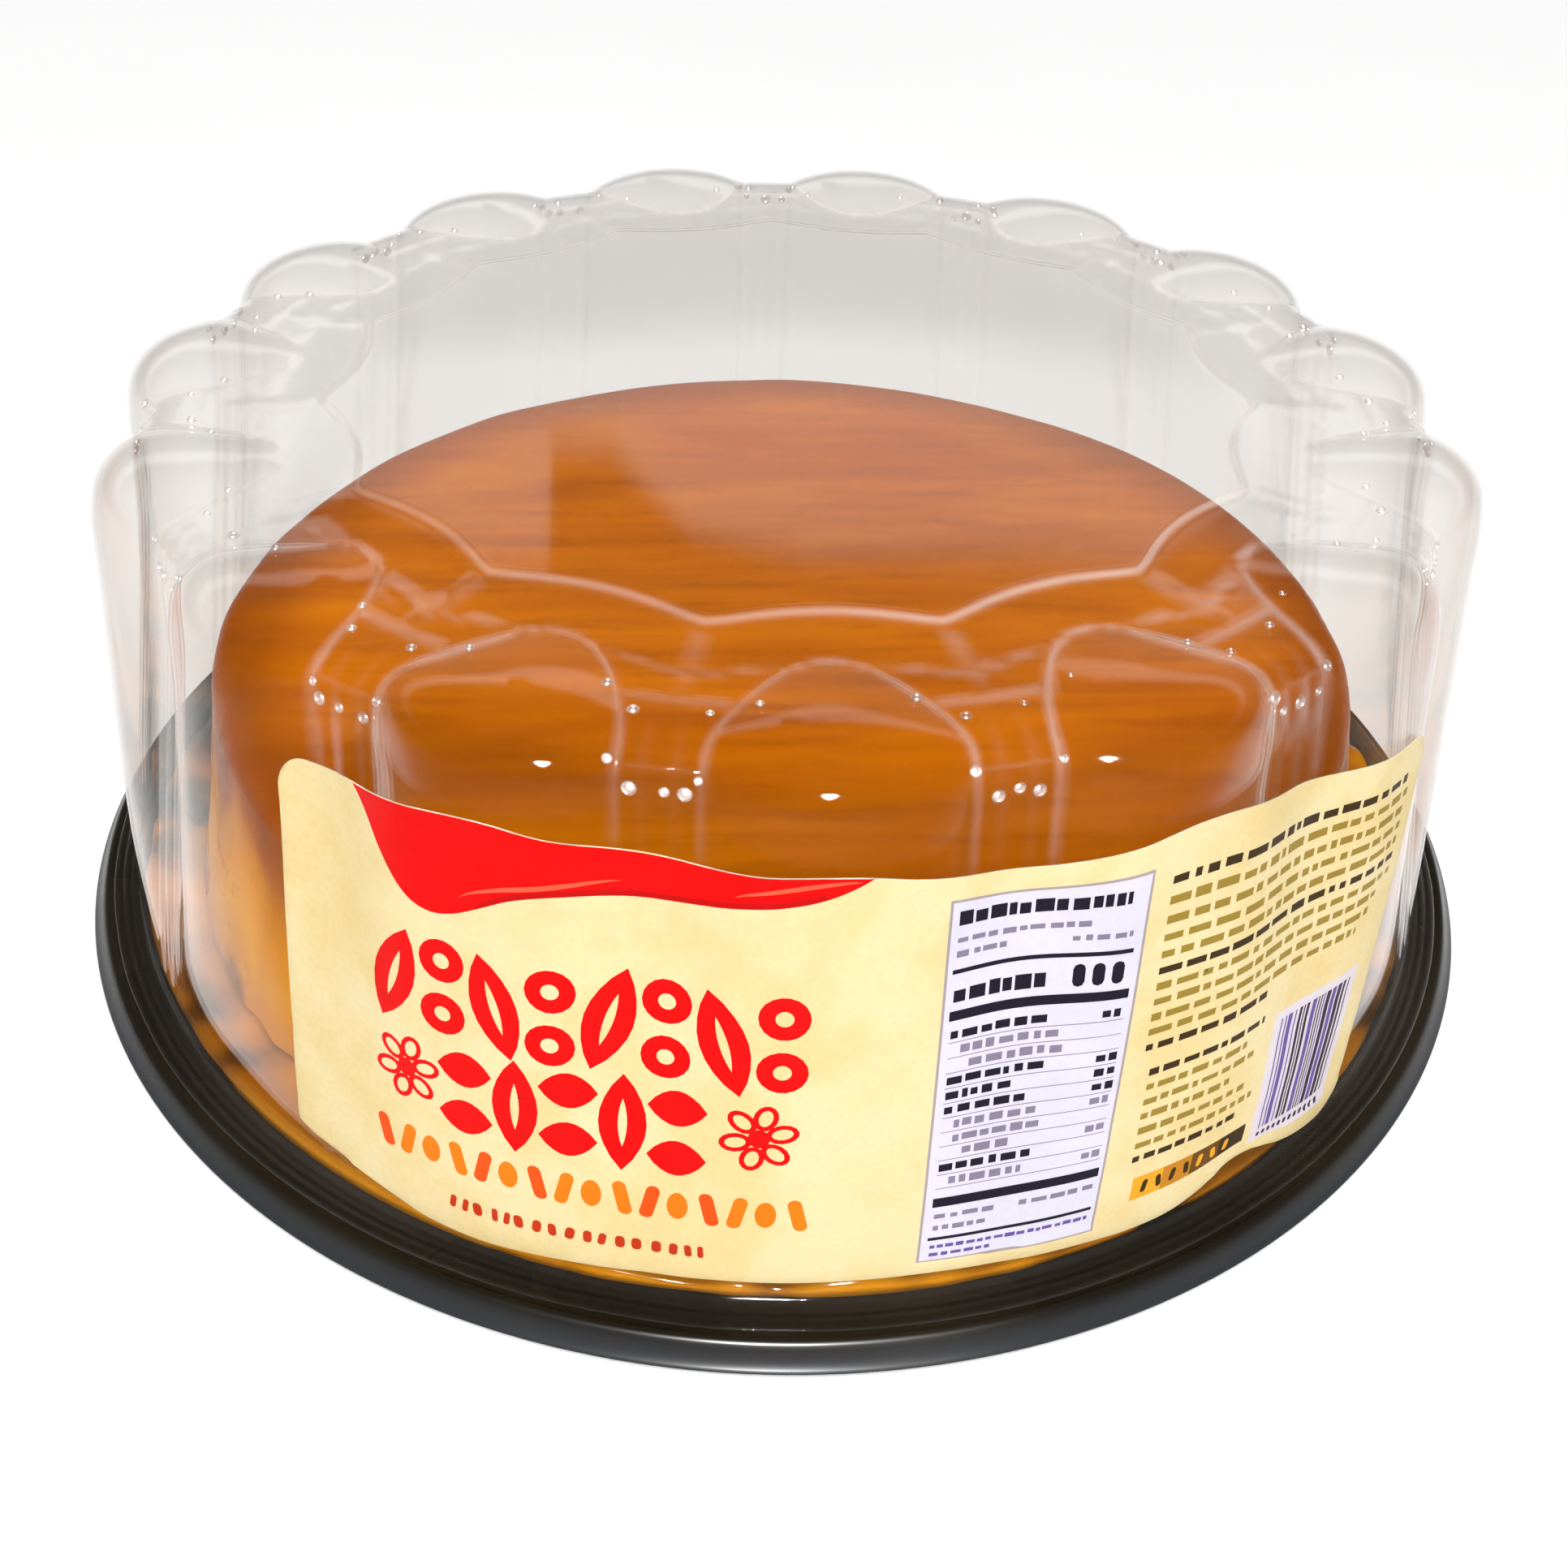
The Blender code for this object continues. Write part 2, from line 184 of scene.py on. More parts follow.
class Nodes:
    """Short calls to lay out a material's nodes."""

    def __init__(self, name):
        self.material = bpy.data.materials.new(name)
        self.material.use_nodes = True
        self.tree = self.material.node_tree
        self.shader = self.tree.nodes["Principled BSDF"]
        self.out = self.tree.nodes["Material Output"]
        self.where = self.new("ShaderNodeTexCoord").outputs["Object"]

    def new(self, kind, **settings):
        node = self.tree.nodes.new(kind)
        for key, value in settings.items():
            setattr(node, key, value)
        return node

    def put(self, socket, value):
        if isinstance(value, bpy.types.NodeSocket):
            self.tree.links.new(value, socket)
        elif value is not None:
            socket.default_value = value

    def set(self, **values):
        for key, value in values.items():
            self.put(self.shader.inputs[key.replace("_", " ")], value)

    def math(self, kind, a, b=None, c=None, clamp=False):
        node = self.new("ShaderNodeMath", operation=kind, use_clamp=clamp)
        for i, value in enumerate((a, b, c)):
            self.put(node.inputs[i], value)
        return node.outputs[0]

    def mix(self, factor, a, b, kind="MIX"):
        node = self.new("ShaderNodeMix", data_type="RGBA", blend_type=kind)
        self.put(node.inputs[0], factor)
        self.put(node.inputs[6], a)
        self.put(node.inputs[7], b)
        return node.outputs[2]

    def span(self, value, low, high, to_low=0.0, to_high=1.0, kind="SMOOTHSTEP"):
        node = self.new("ShaderNodeMapRange", interpolation_type=kind)
        for i, v in enumerate((value, low, high, to_low, to_high)):
            self.put(node.inputs[i], v)
        return node.outputs[0]

    def stretched(self, scale, move=(0, 0, 0)):
        node = self.new("ShaderNodeMapping")
        self.put(node.inputs["Vector"], self.where)
        node.inputs["Scale"].default_value = scale
        node.inputs["Location"].default_value = move
        return node.outputs[0]

    def noise(self, scale, detail=3.0, rough=0.55, vector=None, distortion=0.0):
        node = self.new("ShaderNodeTexNoise")
        self.put(node.inputs["Vector"], vector if vector is not None else self.where)
        node.inputs["Scale"].default_value = scale
        node.inputs["Detail"].default_value = detail
        node.inputs["Roughness"].default_value = rough
        node.inputs["Distortion"].default_value = distortion
        return node.outputs["Fac"]

    def ramp(self, value, stops):
        node = self.new("ShaderNodeValToRGB")
        self.put(node.inputs[0], value)
        elements = node.color_ramp.elements
        while len(elements) < len(stops):
            elements.new(0.5)
        for element, (position, colour) in zip(elements, stops):
            element.position = position
            element.color = colour
        return node.outputs[0]

    def attribute(self, name):
        return self.new("ShaderNodeAttribute", attribute_name=name).outputs["Fac"]

    def axes(self):
        node = self.new("ShaderNodeSeparateXYZ")
        self.put(node.inputs[0], self.where)
        return node.outputs

    def bump(self, height, strength, distance):
        node = self.new("ShaderNodeBump")
        node.inputs["Strength"].default_value = strength
        node.inputs["Distance"].default_value = distance
        self.put(node.inputs["Height"], height)
        return node.outputs[0]


# ------------------------------------------------------------------ materials

def clear_plastic():
    """Thin clear sheet: straight view through it, with a mirror share that
    grows towards a grazing look, and a painted highlight, a pale white share, along the pressed creases."""
    n = Nodes("clear_sheet")
    n.tree.nodes.remove(n.shader)
    facing = n.new("ShaderNodeLayerWeight")
    facing.inputs["Blend"].default_value = 0.5
    share = n.ramp(facing.outputs["Facing"], [
        (0.0, (0.0025,) * 3 + (1,)), (0.28, (0.003,) * 3 + (1,)), (0.40, (0.012,) * 3 + (1,)),
        (0.48, (0.048,) * 3 + (1,)), (0.56, (0.072,) * 3 + (1,)), (0.75, (0.20,) * 3 + (1,)),
        (0.90, (0.50,) * 3 + (1,)), (1.0, (0.95,) * 3 + (1,)),
    ])
    crease = n.attribute("crease")
    drift = n.noise(11.0, 0.0, 0.5, n.stretched((1.0, 1.0, 0.45)))
    through = n.new("ShaderNodeBsdfTransparent")
    through.inputs["Color"].default_value = (0.948, 0.940, 0.932, 1.0)
    gloss = n.new("ShaderNodeBsdfGlossy")
    gloss.inputs["Color"].default_value = (1.0, 1.0, 1.0, 1.0)
    n.put(gloss.inputs["Roughness"], n.span(drift, 0.35, 0.7, 0.04, 0.08))
    mirror = n.new("ShaderNodeMixShader")
    n.put(mirror.inputs[0], share)
    n.put(mirror.inputs[1], through.outputs[0])
    n.put(mirror.inputs[2], gloss.outputs[0])
    # Painted highlight: a pale white diffuse and translucent share, as much as the crease attribute asks, stands for
    # the bright lines at the creases.
    white = n.new("ShaderNodeBsdfTranslucent")
    white.inputs["Color"].default_value = (0.93, 0.92, 0.90, 1.0)
    both = n.new("ShaderNodeBsdfDiffuse")
    both.inputs["Color"].default_value = (0.93, 0.92, 0.90, 1.0)
    crease_highlight = n.new("ShaderNodeMixShader")
    crease_highlight.inputs[0].default_value = 0.5
    n.put(crease_highlight.inputs[1], white.outputs[0])
    n.put(crease_highlight.inputs[2], both.outputs[0])
    amount = n.math("MULTIPLY", crease, n.span(drift, 0.3, 0.7, 0.10, 0.24))
    amount = n.math("ADD", amount, n.span(drift, 0.5, 0.75, 0.0, 0.002), clamp=True)
    last = n.new("ShaderNodeMixShader")
    n.put(last.inputs[0], amount)
    n.put(last.inputs[1], mirror.outputs[0])
    n.put(last.inputs[2], crease_highlight.outputs[0])
    n.put(n.out.inputs["Surface"], last.outputs[0])
    return n.material


def clear_blister():
    """The same sheet where it is drawn thin and dulled at a sharp corner."""
    n = Nodes("clear_blister")
    n.tree.nodes.remove(n.shader)
    drift = n.noise(40.0, 0.0, 0.5)
    through = n.new("ShaderNodeBsdfTransparent")
    through.inputs["Color"].default_value = (0.95, 0.945, 0.94, 1.0)
    gloss = n.new("ShaderNodeBsdfGlossy")
    gloss.inputs["Color"].default_value = (1.0, 1.0, 1.0, 1.0)
    n.put(gloss.inputs["Roughness"], n.span(drift, 0.35, 0.7, 0.22, 0.32))
    mirror = n.new("ShaderNodeMixShader")
    n.put(mirror.inputs[0], n.span(drift, 0.35, 0.7, 0.12, 0.24))
    n.put(mirror.inputs[1], through.outputs[0])
    n.put(mirror.inputs[2], gloss.outputs[0])
    n.put(n.out.inputs["Surface"], mirror.outputs[0])
    return n.material


def black_tray():
    n = Nodes("black_tray")
    x, y, z = n.axes()
    radius = n.math("SQRT", n.math("ADD", n.math("MULTIPLY", x, x), n.math("MULTIPLY", y, y)))
    grain = n.noise(260.0, 0.0, 0.5)
    drift = n.noise(14.0, 2.0, 0.6)
    turned = n.new("ShaderNodeTexNoise", noise_dimensions="1D")
    n.put(turned.inputs["W"], n.math("MULTIPLY", radius, 1.0))
    turned.inputs["Scale"].default_value = 900.0
    turned.inputs["Detail"].default_value = 0.0
    base = n.mix(n.span(drift, 0.3, 0.75), (0.0080, 0.0062, 0.0036, 1), (0.0165, 0.0125, 0.0070, 1))
    # The outer skirt is coloured a little bluer and greyer than the rest of the tray.
    skirt = n.span(radius, 0.1312, 0.1332)
    base = n.mix(n.math("MULTIPLY", skirt, 0.8), base, (0.027, 0.030, 0.036, 1))
    n.set(Base_Color=base, Roughness=n.span(drift, 0.25, 0.8, 0.24, 0.36))
    height = n.math("ADD", n.math("MULTIPLY", grain, 0.10), turned.outputs["Fac"])
    n.set(Normal=n.bump(height, 0.05, 0.0002))
    n.shader.inputs["Specular IOR Level"].default_value = 0.10
    return n.material


def custard():
    """Baked custard under caramel: dark amber top, golden side, wet gloss."""
    n = Nodes("caramel_custard")
    x, y, z = n.axes()
    radius = n.math("SQRT", n.math("ADD", n.math("MULTIPLY", x, x), n.math("MULTIPLY", y, y)))
    fine = n.noise(60.0, 2.0, 0.62)
    broad = n.noise(13.0, 1.0, 0.6)
    grain = n.noise(9.0, 3.0, 0.66, n.stretched((1.0, 5.5, 5.5)), 0.35)
    hair = n.noise(34.0, 3.0, 0.6, n.stretched((1.0, 6.0, 6.0), (0.3, 0.1, 0)), 0.2)

    # Top: caramel in bands and streaks, from amber to a deeper brown.
    top = n.ramp(grain, [
        (0.30, linear(182, 93, 1)), (0.43, linear(199, 106, 1)),
        (0.55, linear(211, 115, 1)), (0.72, linear(222, 125, 2)),
    ])
    top = n.mix(n.span(hair, 0.48, 0.70, 0.0, 0.34), top, linear(160, 78, 1))
    top = n.mix(n.span(broad, 0.50, 0.76, 0.0, 0.45), top, linear(190, 88, 1))
    # Painted shade: the top darkens towards its outer edge, standing in for the label's shadow that falls there.
    edge = n.span(radius, 0.084, 0.1035)
    top = n.mix(n.math("MULTIPLY", edge, 0.75), top, linear(142, 66, 1))

    # Side: golden custard, with caramel run down from the top edge.
    drip = n.noise(30.0, 2.0, 0.6, n.stretched((1.0, 1.0, 0.12), (0.2, 0.5, 0)))
    height = n.math("ADD", z, n.span(drip, 0.3, 0.7, -0.006, 0.006))
    side = n.ramp(n.span(height, 0.0, 0.050, kind="LINEAR"), [
        (0.03, linear(160, 98, 3)), (0.13, linear(224, 148, 4)), (0.38, linear(236, 164, 6)),
        (0.55, linear(230, 152, 4)), (0.70, linear(206, 130, 3)), (0.82, linear(164, 86, 1)),
        (0.93, linear(140, 68, 1)),
    ])
    side = n.mix(n.span(drip, 0.55, 0.75, 0.0, 0.35), side, linear(176, 100, 4))
    side = n.mix(n.span(fine, 0.56, 0.72, 0.0, 0.22), side, linear(240, 180, 40))
    # Pores: small holes, painted darker for the shade inside them; the bump below also sinks them.
    pores = n.new("ShaderNodeTexVoronoi")
    n.put(pores.inputs["Vector"], n.where)
    pores.inputs["Scale"].default_value = 330.0
    hole = n.span(pores.outputs["Distance"], 0.10, 0.26, 1.0, 0.0)
    rare = n.span(n.noise(70.0, 2.0, 0.5), 0.53, 0.62)
    hole = n.math("MULTIPLY", hole, rare)
    side = n.mix(n.math("MULTIPLY", hole, 0.45), side, linear(150, 84, 4))

    on_top = n.span(z, 0.0425, 0.0468)
    colour = n.mix(on_top, side, top)
    rough = n.span(fine, 0.3, 0.75, 0.20, 0.36)
    n.set(Base_Color=colour, Roughness=rough)
    relief = n.math("ADD", n.math("MULTIPLY", hair, 0.55), n.math("MULTIPLY", fine, 0.5))
    relief = n.math("SUBTRACT", relief, n.math("MULTIPLY", hole, 0.5))
    n.set(Normal=n.bump(relief, 0.22, 0.0007))
    n.shader.inputs["Specular IOR Level"].default_value = 0.03
    return n.material


def syrup():
    n = Nodes("caramel_syrup")
    depth = n.attribute("depth")
    broad = n.noise(45.0, 2.0, 0.6)
    thick = n.math("ADD", depth, n.span(broad, 0.3, 0.7, -0.22, 0.22), clamp=True)
    colour = n.ramp(thick, [
        (0.05, linear(40, 24, 4)), (0.25, linear(112, 68, 4)),
        (0.45, linear(172, 108, 5)), (0.8, linear(204, 134, 10)),
    ])
    n.set(Base_Color=colour, Roughness=n.span(broad, 0.3, 0.7, 0.07, 0.16))
    n.set(Normal=n.bump(n.noise(160.0, 0.0, 0.5), 0.2, 0.0004))
    n.shader.inputs["Specular IOR Level"].default_value = 0.12
    return n.material


def paper(name, colour, spread=0.05, rough=0.42, second=None):
    """Printed paper: the ink's colour with the stock's mottle and fibre."""
    n = Nodes(name)
    mottle = n.noise(70.0, 2.0, 0.6)
    fibre = n.noise(900.0, 1.0, 0.6)
    dark = tuple(c * (1 - spread * 2.2) for c in colour[:3]) + (1.0,)
    base = n.mix(n.span(mottle, 0.32, 0.70), colour, second if second else dark)
    base = n.mix(n.span(fibre, 0.35, 0.75, 0.0, spread), base, (0.02, 0.015, 0.01, 1))
    n.set(Base_Color=base, Roughness=n.span(mottle, 0.3, 0.7, rough - 0.05, rough + 0.07))
    n.set(Normal=n.bump(fibre, 0.12, 0.0001))
    n.shader.inputs["Specular IOR Level"].default_value = 0.05
    return n.material


# ------------------------------------------------------------------ dome lid

def lobe_half(radius, t):
    """Half width of a lobe's window in mm of arc: its true arch, and full."""
    full = math.pi * radius / LOBES - PILASTER / 2
    if t < CLOSING:
        return full * math.sqrt(max(0.0, 1 - ((CLOSING - t) / CLOSING) ** 2)), full
    return full, full


def bulge(u):
    """An arc of a circle over u 0..1, then flat."""
    edge = 0.70
    low = math.sqrt(1 - edge * edge)
    return np.where(u < 1, (np.sqrt(np.maximum(0, 1 - (u * edge) ** 2)) - low) / (1 - low), 0.0)


INSIDE = [0.0, 0.17, 0.34, 0.50, 0.64, 0.76, 0.86, 0.93, 0.975, 1.0]
OUTSIDE = [0.08, 0.18, 0.32, 0.44, 0.55, 0.66, 0.80, 1.0]


def lobe_columns(half, radius):
    """Azimuths over one pitch, in degrees from the middle of the lobe."""
    full = math.radians(PITCH / 2) * radius
    right = [half * u for u in INSIDE] + [half + (full - half) * u for u in OUTSIDE]
    left = [-x for x in right[1:]][::-1]
    return np.degrees(np.array(left + right[:-1]) / radius), np.array(left + right[:-1])


def make_nibs(first, az, r, z):
    """Small blisters at the corners of the pilasters, where the light sparkles."""
    spots = [
        (-3.1, 109.8, 0.90, 0.40), (-1.8, 110.4, 0.95, 0.45), (0.1, 110.4, 1.0, 0.45),
        (1.8, 110.4, 0.90, 0.40), (3.0, 109.8, 0.85, 0.40), (-2.9, 101.4, 0.75, 0.60),
        (2.4, 100.4, 0.80, 0.60), (-5.5, 97.4, 0.80, 0.65), (6.6, 97.9, 0.70, 0.60),
    ]
    rings, sides = 3, 10
    points, faces = [], []
    for k in range(LOBES):
        for i, (turn, radius, wide, tall) in enumerate(spots):
            # Each differs a little from its neighbours.
            turn = turn + 0.35 * math.sin(2.1 * k + 1.7 * i)
            size = 1.0 + 0.22 * math.sin(1.3 * k + 2.9 * i)
            around = (k + 0.5) * PITCH + turn
            near = np.abs((az - around + 180) % 360 - 180) * 2.0 + np.abs(r - radius) + np.where(z < 85, 50, 0)
            row, col = np.unravel_index(np.argmin(near), near.shape)
            row = min(max(row, 1), az.shape[0] - 2)
            away, up = r[row, col], z[row, col]
            run = np.array([r[row + 1, col] - r[row - 1, col], z[row + 1, col] - z[row - 1, col]])
            run = run / max(1e-6, np.hypot(*run))
            out = np.array([-run[1], run[0]]) if run[0] > 0 else np.array([run[1], -run[0]])
            if out[0] + out[1] < 0:
                out = -out
            a = math.radians(around)
            radial = np.array([math.sin(a), -math.cos(a), 0])
            side = np.array([math.cos(a), math.sin(a), 0])
            normal = radial * out[0] + np.array([0, 0, out[1]])
            slope = radial * run[0] + np.array([0, 0, run[1]])
            at = radial * away + np.array([0, 0, up]) - normal * 0.06
            start = first + len(points)
            points.append(at + normal * tall * size)
            for j in range(1, rings + 1):
                lean = math.pi / 2 * j / rings
                for n in range(sides):
                    turned = 2 * math.pi * n / sides
                    flat = side * math.cos(turned) + slope * math.sin(turned)
                    points.append(at + flat * wide * size * math.sin(lean) + normal * tall * size * math.cos(lean))
            for n in range(sides):
                m = (n + 1) % sides
                faces.append((start, start + 1 + n, start + 1 + m))
                for j in range(rings - 1):
                    low = start + 1 + j * sides
                    faces.append((low + n, low + sides + n, low + sides + m, low + m))
    return np.array(points) * MM, faces


def make_lid(surface):
    az_rows, r_rows, z_rows, crease_rows = [], [], [], []
    per = 2 * (len(INSIDE) + len(OUTSIDE) - 1)
    centres = np.repeat(np.arange(LOBES) * PITCH, per)

    def add(local_az, r, z, crease):
        az_rows.append(np.tile(local_az, LOBES) + centres)
        r_rows.append(np.tile(np.broadcast_to(r, local_az.shape), LOBES))
        z_rows.append(np.tile(np.broadcast_to(z, local_az.shape), LOBES))
        crease_rows.append(np.tile(np.broadcast_to(crease, local_az.shape), LOBES))

    _, full0 = lobe_half(87.0, 0.0)
    start_half = 0.45 * full0
    spread, arc = lobe_columns(start_half, 87.0)
    u = np.abs(spread) / (PITCH / 2)
    scallop = PLATEAU_RADIUS - SCALLOP_DEPTH * (1 - u * u)
    # The cusps are a little rounded, as in pressed sheet.
    scallop = scallop - 0.55 * np.exp(-((1 - u) * 9.0) ** 2)
    for share in (0.02, 0.16, 0.34, 0.52, 0.70, 0.84, 0.93):
        add(spread, share * (scallop - 2.4), PLATEAU_TOP - 0.10 * (1 - share) ** 2, 0.0)
    bead = [(-2.4, 0.0, 0.0), (-1.9, 0.0, 0.0), (-1.5, 0.02, 0.08), (-1.15, 0.0, 0.35), (-0.85, -0.13, 0.85),
            (-0.55, -0.33, 1.0), (-0.25, -0.52, 0.8), (0.05, -0.64, 0.35), (0.4, -0.70, 0.1), (1.0, -0.70, 0.0)]
    for offset, drop, crease in bead:
        add(spread, scallop + offset, PLATEAU_TOP + drop, crease)

    # Between the panel's edge and the arches: flat facets with raised ribs
    # that run from the cusps out to the tops of the pilasters, with a painted highlight along each rib.
    def rib(radius):
        away = (PITCH / 2 - np.abs(spread)) * math.pi / 180 * radius
        return np.exp(-(away / 0.75) ** 2)

    for k in (0.25, 0.55, 0.85):
        r = (scallop + 1.0) * (1 - k) + 87.0 * k
        z = PANEL * (1 - k) + 93.4 * k
        add(spread, r, z + 0.28 * rib(84.0), 0.40 * rib(84.0))

    ts = list(np.linspace(0.0, 0.5556, 37)) + list(np.linspace(0.5556, 1.0, 15)[1:])
    for t in ts:
        v = pilaster_at(np.array([t]))[0]
        l = lobe_at(np.array([t]))[0]
        true, full = lobe_half(v[0], t)
        half = max(true, 0.45 * full)
        spread, arc = lobe_columns(half, v[0])
        u = np.abs(arc) / true if true > 0 else np.full(arc.shape, 2.0)
        k = bulge(u)
        r = v[0] + (l[0] - v[0]) * k
        z = v[1] + (l[1] - v[1]) * k
        # Distance to the arch's outline, for the painted highlight along it.
        if t < CLOSING:
            f = (arc / full) ** 2 + ((CLOSING - t) / CLOSING) ** 2 - 1
            g = np.sqrt((2 * arc / full ** 2) ** 2 + (2 * (CLOSING - t) / (CLOSING ** 2 * 85.0)) ** 2)
            distance = np.abs(f) / np.maximum(g, 1e-3)
        else:
            distance = np.abs(np.abs(arc) - full)
        crease = 0.75 * np.exp(-(distance / 0.5) ** 2)
        away = (PITCH / 2 - np.abs(spread)) * math.pi / 180 * v[0]
        if t < 0.13:
            ridge = np.exp(-(away / 0.75) ** 2) * (1 - t / 0.13)
            z = z + 0.28 * ridge
            crease = np.maximum(crease, 0.30 * ridge)
        else:
            # A shallow pressed groove runs down each side of the strip's middle.
            groove = np.exp(-((away - 2.2) / 0.85) ** 2) * min(1.0, (t - 0.13) / 0.2)
            r = r - 0.26 * groove
            crease = np.maximum(crease, 0.09 * groove)
        # A faint line that joins the arches, sagging over each strip: a slight rise with a painted highlight.
        aside = np.abs(spread) / (PITCH / 2)
        joined = np.exp(-((t - 0.015 - 0.045 * aside ** 2) * 85 / 0.55) ** 2) * np.clip((aside - 0.3) / 0.2, 0, 1)
        crease = np.maximum(crease, 0.55 * joined)
        z = z + 0.10 * joined
        # The strip's own top edge, where it leaves the facets, and the edge
        # where its slope turns down into the wall.
        if abs(t - 0.125) < 0.06:
            cross = math.exp(-((t - 0.125) * 85 / 0.8) ** 2) * np.clip((u - 1) * 12, 0, 1)
            crease = np.maximum(crease, 0.6 * cross)
            z = z + 0.16 * cross
        if abs(t - 0.34) < 0.06:
            cross = math.exp(-((t - 0.34) * 85 / 0.8) ** 2) * np.clip((u - 1) * 12, 0, 1)
            crease = np.maximum(crease, 0.22 * cross)
            r = r + 0.24 * cross
            z = z + 0.16 * cross
        add(spread, r, z, crease * (1.0 if t < 0.3 else max(0.4, 1.0 - (t - 0.3) * 6)))
    foot = [(124.35, 11.2, 0.04), (124.4, 9.8, 0.05), (124.4, 8.3, 0.03), (124.4, 6.9, 0.03), (124.42, 6.0, 0.04),
            (124.6, 5.45, 0.08), (125.0, 5.18, 0.08), (125.6, 5.06, 0.02), (125.95, 5.12, 0.03), (126.3, 5.22, 0.07),
            (126.65, 5.12, 0.03), (127.0, 5.06, 0.0), (127.4, 5.12, 0.03), (127.75, 5.24, 0.08), (128.1, 5.12, 0.03),
            (128.5, 5.06, 0.0), (129.1, 5.08, 0.02), (129.5, 5.1, 0.10), (129.75, 5.0, 0.22)]
    for r, z, crease in foot:
        add(spread, r, z, crease)

    az, r, z = np.array(az_rows), np.array(r_rows), np.array(z_rows)
    crease = np.array(crease_rows)
    rows, columns = az.shape
    # Pressed sheet isn't perfect: very slight waves in the panel and the wall.
    wall = np.clip((r - 95) / 25, 0, 1)
    r = r + wall * 0.10 * np.sin(np.radians(az * 7) + z * 0.05) + wall * 0.06 * np.sin(np.radians(az * 31) - z * 0.11)
    r = np.where(z < 12, np.minimum(r, np.array(r_rows)), r)
    top = np.clip((93.0 - r) / 90, 0, 1)
    x = r * np.sin(np.radians(az))
    y = -r * np.cos(np.radians(az))
    z = z - top * (0.10 + 0.05 * np.sin(x * 0.055 + 1.0) * np.cos(y * 0.043) + 0.04 * np.sin(x * 0.021 - y * 0.08))
    points = place(az.ravel(), r.ravel(), z.ravel())
    faces = ring_faces(rows, columns)
    centre = len(points)
    points = np.vstack([points, [[0, 0, (PLATEAU_TOP - 0.22) * MM]]])
    faces += [(centre, (i + 1) % columns, i) for i in range(columns)]
    crease = np.append(crease.ravel(), 0.0)
    nibs, nib_faces = make_nibs(len(points), az, r, z)
    points = np.vstack([points, nibs])
    faces += nib_faces
    crease = np.append(crease, np.full(len(nibs), 0.10))
    lid = add_object("clear_dome", points, faces, [surface, clear_blister()])
    # The crease attribute sets how much painted white highlight each point of the sheet shows.
    float_attribute(lid, "crease", crease)
    slots = np.zeros(len(faces), np.int32)
    slots[len(faces) - len(nib_faces):] = 1
    if len(lid.data.polygons) == len(faces):
        lid.data.polygons.foreach_set("material_index", slots)
    if lid.data.polygons[columns * 3].normal.z < 0:
        lid.data.flip_normals()
    sheet = lid.modifiers.new("Sheet", "SOLIDIFY")
    sheet.thickness = 0.5 * MM
    sheet.offset = -1.0
    sheet.use_rim = True
    return lid


# ------------------------------------------------------------------ base tray

def make_tray(surface):
    """The pressed base as a closed turned section with small fillets."""
    t = 0.8
    top = [
        (0.0, 0.9), (60.0, 0.9), (108.0, 0.9), (114.5, 0.9), (115.6, 1.0), (116.6, 1.25), (117.4, 1.7),
        (118.0, 2.6), (118.4, 3.7), (118.8, 4.6), (119.3, 5.25), (119.9, 5.62), (120.6, 5.7),
        (121.2, 5.6), (121.8, 5.2), (122.3, 4.6), (122.9, 4.28), (123.8, 4.2), (126.0, 4.2), (128.6, 4.2),
        (129.6, 4.2), (130.1, 4.3), (130.5, 4.52), (130.9, 4.58), (131.3, 4.42), (131.7, 4.0),
        (132.1, 3.3), (132.5, 2.55), (132.9, 1.9), (133.3, 1.35), (133.65, 0.95), (133.9, 0.7), (134.0, 0.5),
    ]
    under = [
        (133.8, 0.4), (133.3, 0.45), (132.7, 1.0), (132.0, 2.0), (131.4, 3.0), (130.9, 3.6), (130.3, 3.5),
        (129.5, 3.4), (123.5, 3.4), (122.6, 3.5), (121.9, 4.1), (121.3, 4.75), (120.6, 4.9), (119.9, 4.75),
        (119.4, 4.1), (118.9, 2.8), (118.3, 1.3), (117.4, 0.5), (116.2, 0.1), (115.0, 0.0), (60.0, 0.0), (0.0, 0.0),
    ]
    profile = np.array(top[1:] + under[:-1])
    columns = 300
    az = np.arange(columns) * 360.0 / columns
    rows = []
    for r, z in profile:
        rows.append(place(az, r + 0.0 * az, z))
    points = np.vstack(rows)
    n = len(profile)
    faces = ring_faces(n, columns)
    a, b = len(points), len(points) + 1
    points = np.vstack([points, [[0, 0, 0.9 * MM]], [[0, 0, 0.0]]])
    faces += [(a, (i + 1) % columns, i) for i in range(columns)]
    faces += [(b, (n - 1) * columns + i, (n - 1) * columns + (i + 1) % columns) for i in range(columns)]
    tray = add_object("pressed_base", points, faces, [surface], angle=50)
    if tray.data.polygons[0].normal.z < 0:
        tray.data.flip_normals()
    return tray


# ------------------------------------------------------------------ custard

